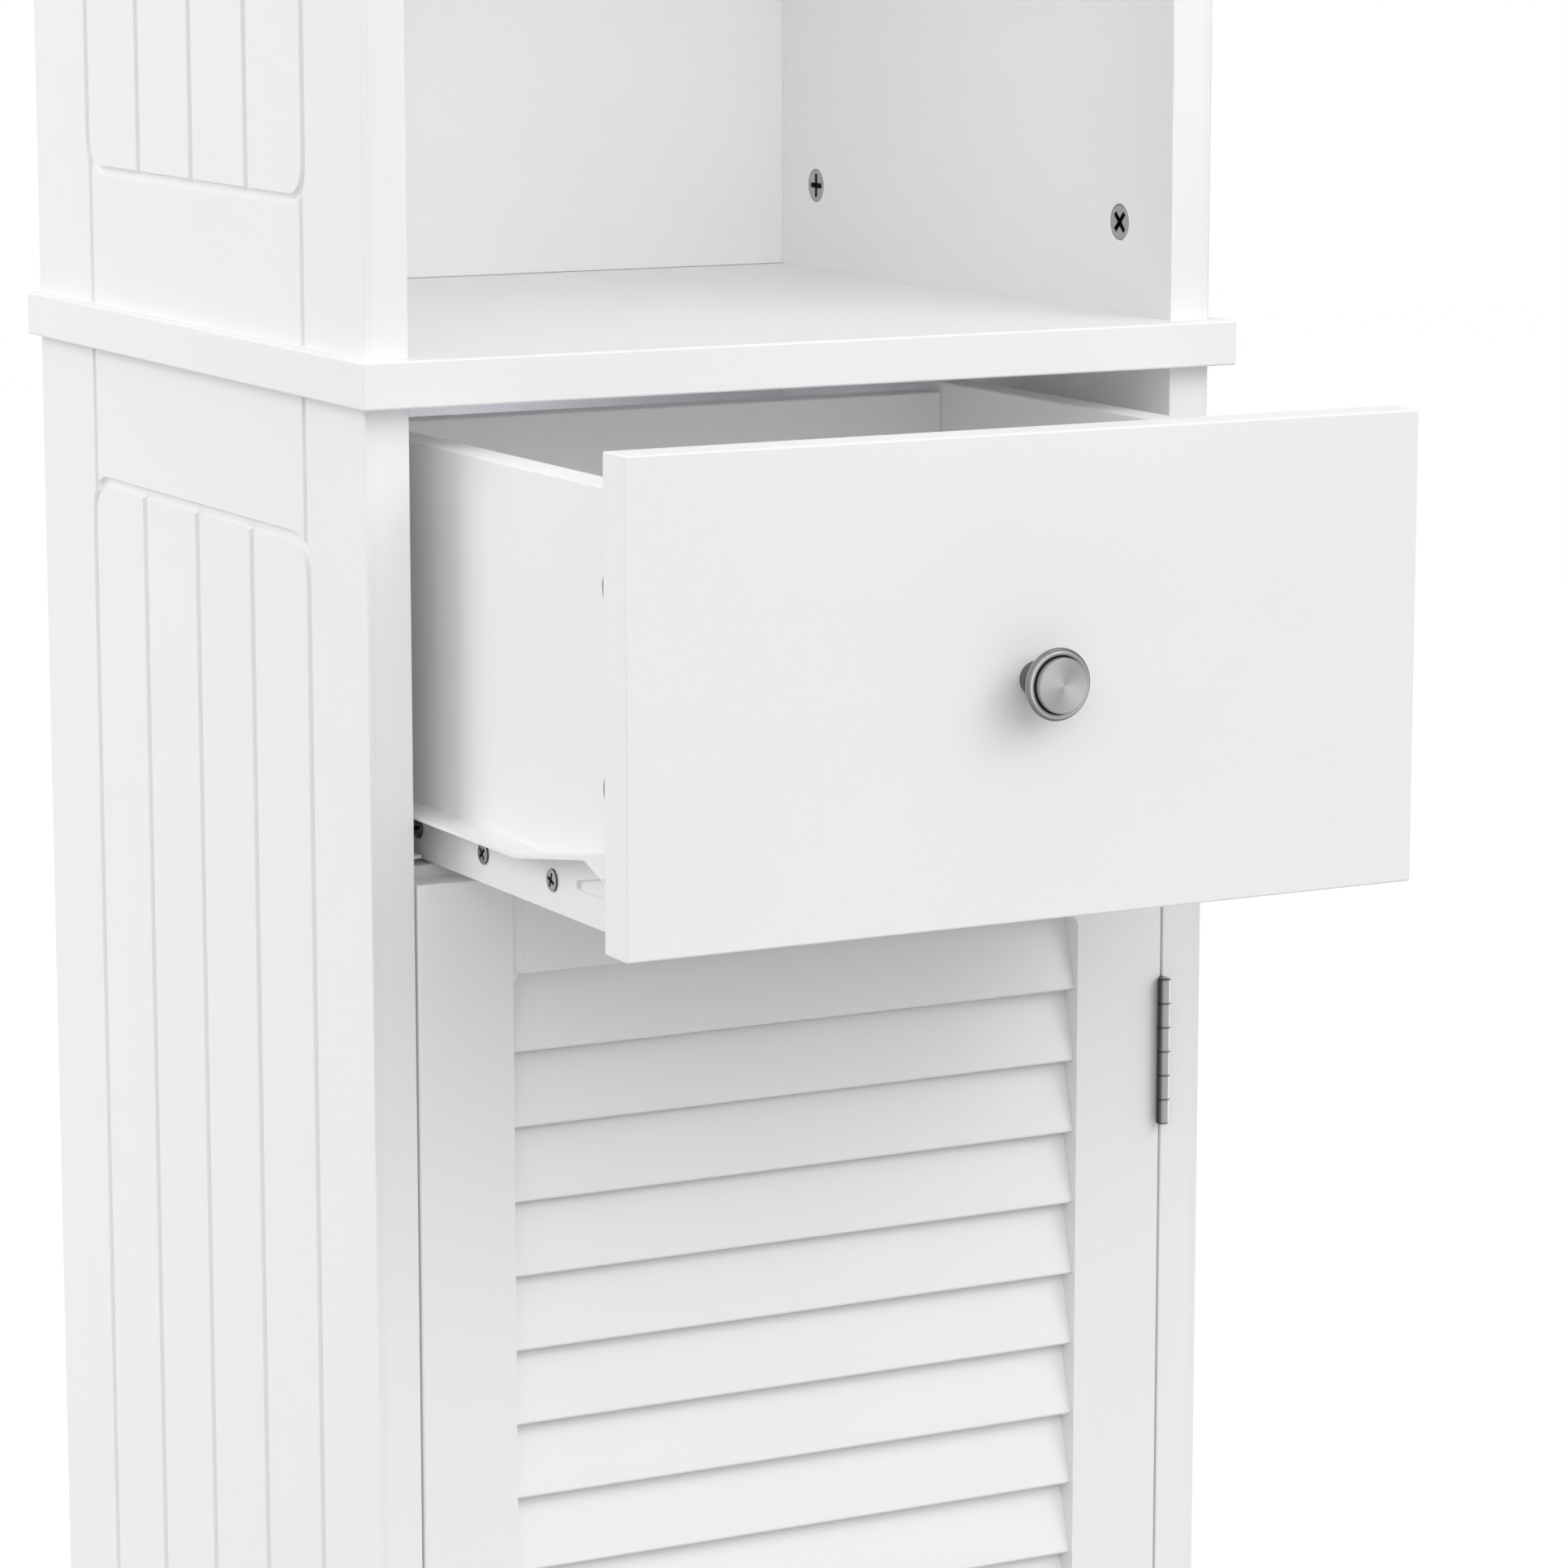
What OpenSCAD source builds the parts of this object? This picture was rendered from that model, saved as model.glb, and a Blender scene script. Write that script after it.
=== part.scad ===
// Free-standing storage tower in white satin boards: an upper cupboard with a louvred door,
// an open compartment, a drawer on roller slides and a lower cupboard with a second louvred door.
// Millimetres. X runs across the front, Y to the back, Z up. The origin is on the floor, in the
// middle of the width, in the plane of the front edges of the side panels. The drawer is drawn
// pulled out by drawer_out.

/* [Carcass] */
// Height of the whole tower
total_h = 1700; // [1670:5:1760]
// Width over the side panels
carcass_w = 310; // [290:1:340]
// Depth of the side panels
side_d = 290; // [280:1:320]
// Thickness of the boards
board_t = 15; // [14.5:0.1:18]
// Height of the top face of the middle board above the floor
mid_h = 840; // [825:5:855]
// How far the middle and the top board stand past each side panel
side_overhang = 5; // [2:0.5:8]
// How far the middle and the top board stand past the front edges
front_overhang = 10; // [4:0.5:14]
// Clear height of the open compartment
compartment_h = 234; // [200:1:250]
// Height of the plinth, to the top face of the bottom board
plinth_h = 77.5; // [70:0.5:95]
// Thickness of the back panels
back_t = 3; // [2.5:0.1:5]
// From the back panels to the rear edges of the side panels
back_inset = 7; // [5:0.5:12]
// Depth of the grooves that hold the back panels
back_groove = 6; // [4:0.5:8]
// Play of a panel in its groove, on each side
panel_play = 0.15; // [0.1:0.05:0.3]

/* [Side panel pattern] */
// Radius of the half-round cutter of the pattern
cove_r = 2; // [1.5:0.1:2.5]
// Height of that cutter's centre above the face
cove_lift = 0.15; // [0.05:0.05:0.4]
// Radius of the cutter of the lines in the end zones
fine_cove_r = 1.6; // [1.2:0.1:2]
// From the front edge to the front line of the border
stile_front = 47; // [40:0.5:56]
// From the rear edge to the rear line of the border
stile_rear = 51; // [40:0.5:60]
// Boards that the lines inside the border seem to make
plank_count = 4; // [2:1:6]
// Radius of the border's corners
border_corner_r = 12; // [8:0.5:16]
// From the ends of the upper side panel to its border
upper_rail_h = 46.3; // [40:0.1:56]
// From the ends of the lower side panel to its border
lower_rail_h = 47.2; // [40:0.1:56]
// How far the lines in the end zones stand inside the border
end_line_inset = 2.1; // [1.5:0.1:3]

/* [Cam fittings] */
// Diameter of a cam lock
cam_d = 12; // [11:0.1:13]
// Play round a cam lock
cam_play = 0.2; // [0.1:0.05:0.3]
// Board left behind a cam lock
cam_floor = 3.5; // [3:0.1:5]
// From the end of a carcass board to its cam locks
cam_reach = 31; // [28:0.5:36]
// From the front edge to the front row of cam locks
cam_front_y = 33.7; // [28:0.1:40]
// From the rear edge to the rear row of cam locks
cam_rear_y = 37.1; // [32:0.1:44]
// Diameter of a bolt's head and collar
bolt_head_d = 6.6; // [6:0.1:7]
// Diameter of a bolt's neck
bolt_neck_d = 4.6; // [4:0.1:5]
// Diameter of a bolt's thread
bolt_thread_d = 5; // [4.5:0.1:5.6]
// Depth of the thread in its board
bolt_embed = 9.5; // [8:0.1:10]
// Play round a bolt, a dowel or a pin
pin_play = 0.08; // [0.06:0.01:0.15]
// Diameter of a dowel
dowel_d = 8; // [7.6:0.1:8.4]
// Length of a dowel in the end of a board
dowel_end_l = 16; // [14:0.5:20]
// Length of a dowel in the face of a board
dowel_face_l = 9.5; // [8:0.1:10]
// From a cam lock to the dowel beside it
dowel_offset = 32; // [28:0.5:38]
// Width of the bars of a screwdriver cross
cross_bar = 1.2; // [1:0.1:1.4]
// Depth of a screwdriver cross in a cam lock
cross_depth = 1.5; // [1:0.1:2]

/* [Shelves] */
// Height of the lower adjustable shelf above the bottom board
lower_shelf_h = 285; // [250:1:320]
// Height of the upper adjustable shelf above the board below it
upper_shelf_h = 292; // [260:1:320]
// Side play of an adjustable shelf
shelf_play = 1; // [0.5:0.1:2]
// From the front edges to the front of the adjustable shelves
shelf_front_y = 24; // [20:1:40]
// Diameter of a shelf pin
shelf_pin_d = 5; // [4.6:0.1:5.4]
// Length of a shelf pin in the board and in the open
shelf_pin_l = 8; // [7:0.5:9]
// Spacing of the shelf pin holes
pin_pitch = 32; // [30:1:36]
// Shelf pin holes in a row
pin_rows = 5; // [1:2:7]
// From the front and rear edges to the rows of shelf pin holes
pin_row_y = 48; // [42:1:56]

/* [Doors] */
// Gap at the free edge of a door
door_gap_free = 1; // [0.8:0.1:2]
// Gap at the hinged edge of a door
door_gap_hinge = 0.7; // [0.6:0.1:1]
// Gap above and below a door
door_gap_z = 2; // [1.5:0.1:3]
// Gap between the drawer front and the door below it
door_gap_drawer = 2.3; // [1.5:0.1:3]
// Width of a door's stiles
stile_w = 33.3; // [30:0.1:40]
// Height of a door's rails
rail_h = 32; // [28:0.5:40]
// Corner radius of the opening in a door
opening_r = 4; // [2:0.5:6]
// Radius of the cutter of the lines between stiles and rails
door_cove_r = 2; // [1.5:0.1:2.5]
// Pitch of the slats
slat_pitch = 25; // [23:0.5:30]
// From the top of the opening to the lower edge of the first slat
slat_first = 26.2; // [24:0.1:28]
// Thickness of a slat
slat_t = 4.6; // [4:0.1:5]
// Tilt of a slat from upright
slat_tilt = 16; // [14:1:18]
// From the door's face to the lower front edge of a slat
slat_inset = 2; // [0.6:0.1:2.4]
// Rounding of a slat's long edges
slat_edge_r = 0.8; // [0.6:0.1:1.6]
// Depth of a slat's seat in the stiles
slat_seat = 5; // [3:0.5:8]
// Play of a slat in its seat
slat_play = 0.1; // [0.05:0.05:0.2]
// Gap between a closed door and what it stops on
stop_gap = 0.3; // [0.2:0.1:0.5]

/* [Hinges] */
// Length of a hinge
hinge_l = 50.6; // [44:0.1:60]
// Knuckles of a hinge
knuckles = 6; // [4:2:8]
// Radius of the knuckles
knuckle_r = 2.3; // [2.1:0.05:2.5]
// Radius of a hinge pin
hinge_pin_r = 1.2; // [1:0.05:1.3]
// Play of a hinge pin in the knuckles
hinge_play = 0.05; // [0.03:0.01:0.08]
// Gap between two knuckles
knuckle_gap = 0.15; // [0.1:0.05:0.3]
// Thickness of a hinge leaf
leaf_t = 0.9; // [0.7:0.05:1]
// Depth of a hinge leaf behind the door's face
leaf_d = 13; // [11:0.5:14]
// From a door's top and bottom edge to its hinges
hinge_offset = 57.1; // [50:0.1:80]
// From the hinged edge of a door back to the hinge axis
hinge_axis_back = 0.2; // [0:0.05:0.4]

/* [Knobs] */
// Diameter of a knob's head
knob_d = 22.5; // [20:0.5:26]
// How far a knob stands out
knob_l = 17; // [15:0.5:20]
// Thickness of a knob's head
knob_head_t = 6; // [5:0.5:7]
// Diameter of a knob's foot
knob_foot_d = 11; // [10:0.5:13]
// Diameter of the disc in a knob's face
knob_disc_d = 17.3; // [15:0.1:18]
// How far that disc stands proud of the rim around it
knob_disc_t = 2; // [1.5:0.1:2.5]
// Diameter of a knob's screw
knob_screw_d = 4; // [3.6:0.1:4.4]
// Depth of the screw in the knob
knob_screw_in = 7; // [5:0.5:8]

/* [Drawer] */
// How far the drawer stands out at rest
drawer_out = 150; // [100:1:160]
// Height of the drawer front
drawer_front_h = 150.2; // [140:0.2:170]
// Gap above the drawer front
drawer_gap_top = 1; // [0.8:0.1:2]
// Gap beside the drawer front
drawer_gap_side = 1.5; // [1:0.1:2.5]
// Thickness of the drawer's sides and back
drawer_t = 12; // [11.5:0.1:13]
// Height of the drawer's sides
drawer_side_h = 133; // [120:1:134]
// From the top of the drawer front down to the drawer's sides
drawer_side_drop = 13.5; // [11:0.5:15]
// From the top of the drawer's sides down to its back
drawer_back_drop = 3.6; // [2:0.1:6]
// Room for a slide on each side of the drawer
slide_room = 12.5; // [12.3:0.1:13]
// From the closed drawer to the back panel
drawer_rear_gap = 5; // [3:0.5:8]
// From the drawer front to the cam locks in the drawer's sides
drawer_cam_reach = 17; // [15:0.5:22]
// Height of the lower cam locks above the edge of the drawer's sides
drawer_cam_low = 42; // [36:0.5:46]
// Height of the upper cam locks above the edge of the drawer's sides
drawer_cam_high = 103; // [90:0.5:108]
// Depth of the bolts in the drawer's boards
drawer_bolt_embed = 8; // [7:0.5:8.5]
// Thickness of the drawer bottom
drawer_floor_t = 3; // [2.5:0.1:4]
// Height of the drawer bottom above the edge of the sides
drawer_floor_h = 10; // [8:0.5:14]
// Depth of the grooves that hold the drawer bottom
drawer_groove = 5; // [4:0.5:6]

/* [Slides] */
// Thickness of the slide steel
steel_t = 1.2; // [1:0.1:1.4]
// Height of the runner's flange above the edge of the drawer's sides
runner_h = 16; // [15:0.5:18]
// From the front edges of the carcass to the slides
slide_front = 16.5; // [16:0.5:22]
// From the back panel to the slides
slide_rear = 13.5; // [8:0.5:16]
// Rise of the runner's flange at its front
ramp_rise = 7.5; // [5:0.5:8]
// From the front of the runner to the top of the ramp
ramp_top = 14.1; // [14:0.1:18]
// From the front of the runner to the foot of the ramp
ramp_foot = 62.4; // [50:0.1:65]
// Length of the bent front end of the runner's flange
curl_l = 13.5; // [8:0.5:13.5]
// Drop of the bent front end of the runner's flange
curl_drop = 4.5; // [4:0.5:8]
// Width of the lip below the drawer's side
lip_w = 9; // [7:0.5:10]
// Radius of a slide's rollers
roller_r = 7; // [6.6:0.1:7.2]
// Radius of a roller's axle
axle_r = 2; // [1.8:0.1:2.2]
// Play of a roller on its axle
axle_play = 0.05; // [0.03:0.01:0.08]
// Gap between a roller and the steel that it runs on
roller_gap = 0.1; // [0.1:0.05:0.3]
// From the front of the slides to the axle of the carcass rollers
front_axle = 24.5; // [20:0.5:26]
// From the rear of the slides to the axle of the drawer's rollers
rear_axle = 8; // [7.5:0.5:12]
// From the front of the slides to the upper flange of the rail
rail_flange_from = 66; // [66:1:90]
// From the front of the runner to its first screw
runner_screw_first = 54.7; // [52:0.1:58]
// Spacing of the runner's screws
runner_screw_pitch = 50.3; // [44:0.1:54]
// Height of the runner's screws and of its slot above the edge of the drawer's sides
runner_screw_h = 8.5; // [8:0.1:9]
// From the front of the runner to the rear end of its slot
runner_slot_l = 38.1; // [34:0.1:42]
// From the front of the rail to its first screw
rail_screw_first = 52.5; // [46:0.5:56]
// Spacing of the rail's screws
rail_screw_pitch = 80; // [70:1:84]
// Diameter of the head of a slide's screw
slide_head_d = 7; // [6:0.1:7.4]
// How far the head of a slide's screw stands out
slide_head_t = 0.8; // [0.5:0.05:0.8]
// Diameter of a slide's screw
slide_screw_d = 3; // [2.6:0.1:3.2]
// Length of a slide's screw in the board
slide_screw_l = 9.5; // [8:0.5:10]

/* [Small fittings] */
// Width of a magnetic catch
catch_w = 38; // [32:1:44]
// Depth of a magnetic catch
catch_d = 16; // [14:0.5:20]
// Height of a magnetic catch
catch_h = 12; // [10:0.5:14]
// Thickness of a strike plate
strike_t = 1; // [0.8:0.1:1.2]
// Diameter of a small screw
small_screw_d = 2.6; // [2.2:0.1:3]
// Length of a small screw in the board
small_screw_l = 9; // [7:0.5:9.5]
// Diameter of a small screw's head
small_head_d = 5.2; // [4.6:0.1:5.6]
// Width of the wall bracket
bracket_w = 40; // [30:1:50]
// Length of each leg of the wall bracket
bracket_leg = 22; // [18:1:28]
// Thickness of the wall bracket
bracket_t = 2; // [1.5:0.1:2.5]
// Diameter of the wall screw's hole
wall_hole_d = 5.2; // [4.5:0.1:6]

/* [Hidden] */
$fn = 48;
// Overlap of a cutting shape past the face that it cuts
over = 0.5;
// Gap left between boards that meet without a joint
seat = 0.2;
// Room past the end of a screw, a bolt or a pin in its hole
hole_end = 0.2;
// Length of a bolt's head
bolt_head_l = 2.2;
// Length of a bolt's collar
bolt_collar_l = 2;
// What the hole round a bolt's head is wider than the head
bolt_room = 0.6;
// What a cam lock's own opening is wider than the bolt's head
cam_mouth = 1;
// Gap between the divider and the slides above it
divider_clear = 1.3;
// How far the drawer front covers the divider
divider_lap = 1.2;
// Gap between the first slat and the top of the opening
slat_top_gap = 0.4;
// Gap between a hinge's knuckles and the face of the door
knuckle_clear = 0.3;
// From the door's face to the flat part of a hinge leaf
leaf_from = 0.35;
// What a leaf's seat is deeper than the leaf
leaf_seat = 0.1;
// From the rear edge of a leaf to its screws
leaf_screw_in = 5;
// From a leaf's ends to its screws, as a share of its length
leaf_screw_share = 0.22;
// Gap between the runner's flange and the side panel
flange_gap = 2;
// Gap between the runner and the edges of the rail's flanges
rail_lip_gap = 1.5;
// Gap between the runner's flange and the rail's upper flange
roof_gap = 0.6;
// Height of the runner's slot
slot_h = 3;
// Steel left in front of and above the runner's slot
slot_rim = 4;
slot_crown = 2;
// The cross in the head of a slide's screw: width of its bars, length and depth
slide_cross_bar = 0.9;
slide_cross_l = 4;
slide_cross_depth = 0.6;
// Side gaps of the rollers: to the rail, to the runner, and to the heads of the screws
roller_side_gap = 0.4;
rail_roller_gap = 2.3;
runner_roller_gap = 0.9;
roller_screw_gap = 1.1;
// Heads of rivets and hinge pins: thickness, gap below, and how far they stand out round the shank
rivet_head_t = 0.5;
rivet_gap = 0.1;
rivet_head_more = 1;
pin_head_less = 0.4;
// What the hole of a knob's screw is wider than the screw, and the thickness of that screw's head
knob_hole_play = 0.5;
knob_screw_head_t = 2.2;
// Room past the end of the screw inside a knob
knob_hole_end = 0.3;
// Thickness of the head of a small screw on a catch, a bracket or a strike plate
small_head_t = 1.5;
strike_head_t = 0.8;
// A magnetic catch: thickness and length of the ears with its screws, and its gap to the side panel
catch_ear_t = 3;
catch_ear_l = 10;
catch_gap = 1;
// A strike plate: its width and height, and how far it stands below the middle of the catch
strike_w = 18;
strike_h = 10;
strike_drop = 2;
// From the rear ends of the adjustable shelves to the back panel
shelf_rear_gap = 2;

// Places across the width, from the middle
inner_x = carcass_w / 2 - board_t;
outer_x = carcass_w / 2;
drawer_x = inner_x - slide_room;
drawer_in_x = drawer_x - drawer_t;
// Front faces of the back panels
back_y = side_d - back_inset - back_t;
// Heights of the boards
mid_under = mid_h - board_t;
top_under = total_h - board_t;
comp_under = mid_h + compartment_h;
comp_top = comp_under + board_t;
bottom_under = plinth_h - board_t;
// The drawer
front_top = mid_under - drawer_gap_top;
front_low = front_top - drawer_front_h;
side_top = front_top - drawer_side_drop;
side_low = side_top - drawer_side_h;
drawer_rear = back_y - drawer_rear_gap;
floor_low = side_low + drawer_floor_h;
floor_top = floor_low + drawer_floor_t;
drawer_back_y = drawer_rear - drawer_t;
// The divider's top face lies just below the slides
divider_top = min(side_low - steel_t - divider_clear, front_low + divider_lap);
divider_under = divider_top - board_t;
// The doors
lower_door = [plinth_h + door_gap_z, front_low - door_gap_drawer];
upper_door = [comp_top + door_gap_z, top_under - door_gap_z];
door_x0 = door_gap_free - inner_x;
door_x1 = inner_x - door_gap_hinge;
opening_x0 = door_x0 + stile_w;
opening_x1 = door_x1 - stile_w;
slat_l = (slat_first - slat_top_gap) / cos(slat_tilt);
stop_y = board_t + stop_gap;
// The hinges
hinge_x = door_x1 - hinge_axis_back;
hinge_y = -knuckle_r - knuckle_clear;
leaf_room = leaf_t + leaf_seat;
// The slides, with the runner on the drawer and the rail on the carcass
slide_l = back_y - slide_rear - slide_front;
runner_top = side_low + runner_h;
runner_out = drawer_x + steel_t;
flange_x = inner_x - flange_gap;
rail_in = inner_x - steel_t;
roller_z = runner_top - steel_t - roller_gap - roller_r;
rail_floor = roller_z - roller_r - roller_gap;
rail_flange_x = runner_out + rail_lip_gap;
rail_roof = runner_top + roof_gap;
runner_screw_z = side_low + runner_screw_h;
rail_screw_y = [for (i = [0 : 2]) slide_front + rail_screw_first + i * rail_screw_pitch];
// Rows of cam locks, and of shelf pins, from the front edges
cam_rows = [cam_front_y, side_d - cam_rear_y];
dowel_rows = [cam_rows[0] + dowel_offset, cam_rows[1] - dowel_offset];
pin_ys = [pin_row_y, side_d - pin_row_y];
lower_shelf_z = plinth_h + lower_shelf_h;
upper_shelf_z = comp_top + upper_shelf_h;
// Height of the hole for the wall screw
wall_hole_z = top_under - bracket_leg / 2 - bracket_t / 2;
white = [0.93, 0.93, 0.94];
steel = [0.6, 0.6, 0.62];
epoxy = [0.9, 0.9, 0.91];

// Both sides of the tower from the right-hand one
module both() {
    children();
    mirror([1, 0, 0]) children();
}

// What belongs to the drawer is drawn closed and pulled out here
module pulled() {
    translate([0, -drawer_out, 0]) children();
}

// A box from its lowest and highest corner
module block(low, high) {
    translate(low) cube(high - low);
}

// A seat holds a place, a turn and a spin: there local Z leaves the face and local X follows the bolt
module at(s) {
    translate(s[0]) rotate(s[1]) rotate([0, 0, s[2]]) children();
}

// A row of places along X, turned so that local Z points to the right
module along_x(p) {
    translate(p) rotate([0, 90, 0]) children();
}

// ---- Seats on the right-hand side
faces_in = [0, -90, 0];
faces_down = [180, 0, 0];
faces_back = [-90, 0, 0];
mid_seats = [
    for (y = cam_rows) [[inner_x, y, mid_h + cam_reach], faces_in, 180],
    for (y = cam_rows) [[inner_x, y, mid_under - cam_reach], faces_in, 0]
];
plain_seats = [
    for (y = cam_rows) [[inner_x, y, top_under - cam_reach], faces_in, 0],
    for (z = [bottom_under, divider_under, comp_under], y = cam_rows)
        [[inner_x - cam_reach, y, z], faces_down, 0],
    [[inner_x - cam_reach, board_t, plinth_h / 2], faces_back, 0]
];
drawer_seats = [
    for (z = [drawer_cam_low, drawer_cam_high])
        [[drawer_x, board_t + drawer_cam_reach, side_low + z], [0, 90, 0], -90],
    for (z = [drawer_cam_low, drawer_cam_high])
        [[drawer_in_x - drawer_cam_reach, drawer_rear, side_low + z], faces_back, 0]
];

// ---- Cam fittings, in a seat's own frame
module cam(t) {
    color(steel) difference() {
        translate([0, 0, cam_floor - t]) cylinder(d = cam_d, h = t - cam_floor);
        translate([0, 0, -t / 2]) rotate([0, 90, 0]) cylinder(d = bolt_head_d + cam_mouth, h = cam_d);
        for (a = [0, 90]) rotate([0, 0, a])
            block([-cam_d / 3, -cross_bar / 2, -cross_depth], [cam_d / 3, cross_bar / 2, over]);
    }
}

module cam_bolt(t, reach, embed) {
    color(steel) translate([0, 0, -t / 2]) rotate([0, 90, 0]) {
        cylinder(d = bolt_head_d, h = bolt_head_l);
        cylinder(d = bolt_neck_d, h = reach);
        translate([0, 0, reach - bolt_collar_l]) cylinder(d = bolt_head_d, h = bolt_collar_l);
        translate([0, 0, reach]) cylinder(d = bolt_thread_d, h = embed);
    }
}

// A bolt with a head at each end, through the middle board
module double_bolt() {
    full = 2 * cam_reach + board_t;
    color(steel) translate([0, 0, -board_t / 2]) rotate([0, 90, 0]) {
        cylinder(d = bolt_head_d, h = bolt_head_l);
        cylinder(d = bolt_neck_d, h = full);
        translate([0, 0, full - bolt_head_l]) cylinder(d = bolt_head_d, h = bolt_head_l);
        translate([0, 0, cam_reach]) cylinder(d = bolt_head_d, h = board_t);
    }
}

module cam_cut(t, reach, embed, thread_d) {
    translate([0, 0, cam_floor - t]) cylinder(d = cam_d + 2 * cam_play, h = t - cam_floor + over);
    translate([0, 0, -t / 2]) rotate([0, 90, 0]) {
        cylinder(d = bolt_head_d + bolt_room, h = reach);
        cylinder(d = thread_d, h = reach + embed + hole_end);
    }
}

// The cuts for cam fittings whose seats lie between two heights
module cam_cuts(low, high) {
    both() {
        for (s = mid_seats)
            if (s[0][2] > low && s[0][2] < high)
                at(s) cam_cut(board_t, cam_reach, board_t, bolt_head_d + 2 * pin_play);
        for (s = plain_seats)
            if (s[0][2] > low && s[0][2] < high)
                at(s) cam_cut(board_t, cam_reach, bolt_embed, bolt_thread_d + 2 * pin_play);
    }
}

module drawer_cam_cuts() {
    both() for (s = drawer_seats)
        at(s) cam_cut(drawer_t, drawer_cam_reach, drawer_bolt_embed, bolt_thread_d + 2 * pin_play);
}

// ---- Dowels: each entry holds a place, a turn and the lengths before and behind that place
upright = [0, 0, 0];
sideways = [0, 90, 0];
dowel_seats = [
    for (y = dowel_rows)
        [[inner_x + board_t / 2, y, mid_h], upright, dowel_end_l + board_t, dowel_end_l],
    for (y = dowel_rows) [[inner_x + board_t / 2, y, top_under], upright, dowel_end_l, dowel_face_l],
    for (z = [bottom_under, divider_under, comp_under], y = dowel_rows)
        [[inner_x, y, z + board_t / 2], sideways, dowel_end_l, dowel_face_l],
    [[inner_x, board_t / 2, plinth_h / 4], sideways, dowel_end_l, dowel_face_l]
];

module dowel(s, play) {
    translate(s[0]) rotate(s[1]) translate([0, 0, -s[2] - play])
        cylinder(d = dowel_d + 2 * play, h = s[2] + s[3] + 2 * play);
}

module dowel_cuts(low, high) {
    both() for (s = dowel_seats)
        if (s[0][2] > low && s[0][2] < high) dowel(s, pin_play);
}

// ---- The pattern on the outer face of a right-hand side panel, from height low to high
module cove_up(y, z0, z1, r) {
    translate([outer_x + cove_lift, y, z0]) cylinder(r = r, h = z1 - z0);
}

module cove_level(z, y0, y1, r) {
    translate([outer_x + cove_lift, y0, z]) rotate([-90, 0, 0]) cylinder(r = r, h = y1 - y0);
}

// A quarter ring about a corner of the border; turn is how far it is turned about X
module cove_corner(y, z, turn) {
    translate([outer_x + cove_lift, y, z]) rotate([turn, 0, 0]) rotate([0, 90, 0])
        rotate_extrude(angle = 90) translate([border_corner_r, 0]) circle(r = cove_r);
}

module panel_pattern(low, high, rail_low, rail_high) {
    y0 = stile_front;
    y1 = side_d - stile_rear;
    z0 = low + rail_low;
    z1 = high - rail_high;
    c = border_corner_r;
    e = end_line_inset;
    // Height over which the border's corner has turned in to the end line
    rise = c - sqrt(c * c - (c - e) * (c - e));
    for (z = [z0, z1]) cove_level(z, y0 + c, y1 - c, cove_r);
    for (y = [y0, y1]) cove_up(y, z0 + c, z1 - c, cove_r);
    cove_corner(y0 + c, z0 + c, 270);
    cove_corner(y1 - c, z0 + c, 0);
    cove_corner(y1 - c, z1 - c, 90);
    cove_corner(y0 + c, z1 - c, 180);
    for (i = [1 : plank_count - 1]) cove_up(y0 + i * (y1 - y0) / plank_count, z0, z1, cove_r);
    for (y = [y0 + e, y1 - e]) {
        cove_up(y, low - over, z0 + rise, fine_cove_r);
        cove_up(y, z1 - rise, high + over, fine_cove_r);
    }
}

// ---- Holes for the shelf pins in a right-hand side panel
module pin_holes(shelf_z) {
    n = (pin_rows - 1) / 2;
    for (y = pin_ys, i = [-n : n])
        along_x([inner_x - over, y, shelf_z - shelf_pin_d / 2 + i * pin_pitch])
            cylinder(d = shelf_pin_d + 2 * pin_play, h = shelf_pin_l + over + hole_end);
}

// ---- Side panels, drawn on the right
module back_slot(low, high) {
    block([inner_x - over, back_y - panel_play, low - over],
          [inner_x + back_groove, back_y + back_t + panel_play, high + over]);
}

module lower_side() {
    difference() {
        block([inner_x, 0, 0], [outer_x, side_d, mid_under]);
        cam_cuts(0, mid_under);
        dowel_cuts(0, mid_h + 1);
        panel_pattern(0, mid_under, lower_rail_h, lower_rail_h);
        pin_holes(lower_shelf_z);
        back_slot(0, mid_under);
        for (y = rail_screw_y)
            along_x([rail_in, y, roller_z])
                cylinder(d = slide_screw_d + 2 * pin_play, h = steel_t + slide_screw_l + hole_end);
    }
}

module upper_side() {
    difference() {
        block([inner_x, 0, mid_h], [outer_x, side_d, top_under]);
        cam_cuts(mid_h, top_under);
        dowel_cuts(mid_h - 1, total_h);
        panel_pattern(mid_h, top_under, upper_rail_h, upper_rail_h);
        pin_holes(upper_shelf_z);
        back_slot(mid_h, top_under);
    }
}

module lower_side_right() {
    color(white) difference() {
        lower_side();
        frame_leaf_cuts(lower_door);
    }
}

module lower_side_left() {
    color(white) mirror([1, 0, 0]) lower_side();
}

module upper_side_right() {
    color(white) difference() {
        upper_side();
        frame_leaf_cuts(upper_door);
    }
}

module upper_side_left() {
    color(white) mirror([1, 0, 0]) upper_side();
}

// ---- Boards across
module plinth() {
    color(white) difference() {
        block([-inner_x, 0, 0], [inner_x, board_t, plinth_h]);
        cam_cuts(plinth_h / 2 - 1, plinth_h / 2 + 1);
        dowel_cuts(plinth_h / 4 - 1, plinth_h / 4 + 1);
    }
}

module cross_board(under, front, rear) {
    color(white) difference() {
        block([-inner_x, front, under], [inner_x, rear, under + board_t]);
        cam_cuts(under - 1, under + 1);
        dowel_cuts(under, under + board_t);
    }
}

module bottom_board() {
    cross_board(bottom_under, board_t + seat, back_y - seat);
}

module divider_board() {
    difference() {
        cross_board(divider_under, stop_y, back_y - seat);
        catch_screw_cuts(divider_under);
    }
}

module compartment_board() {
    cross_board(comp_under, 0, back_y - seat);
}

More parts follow.
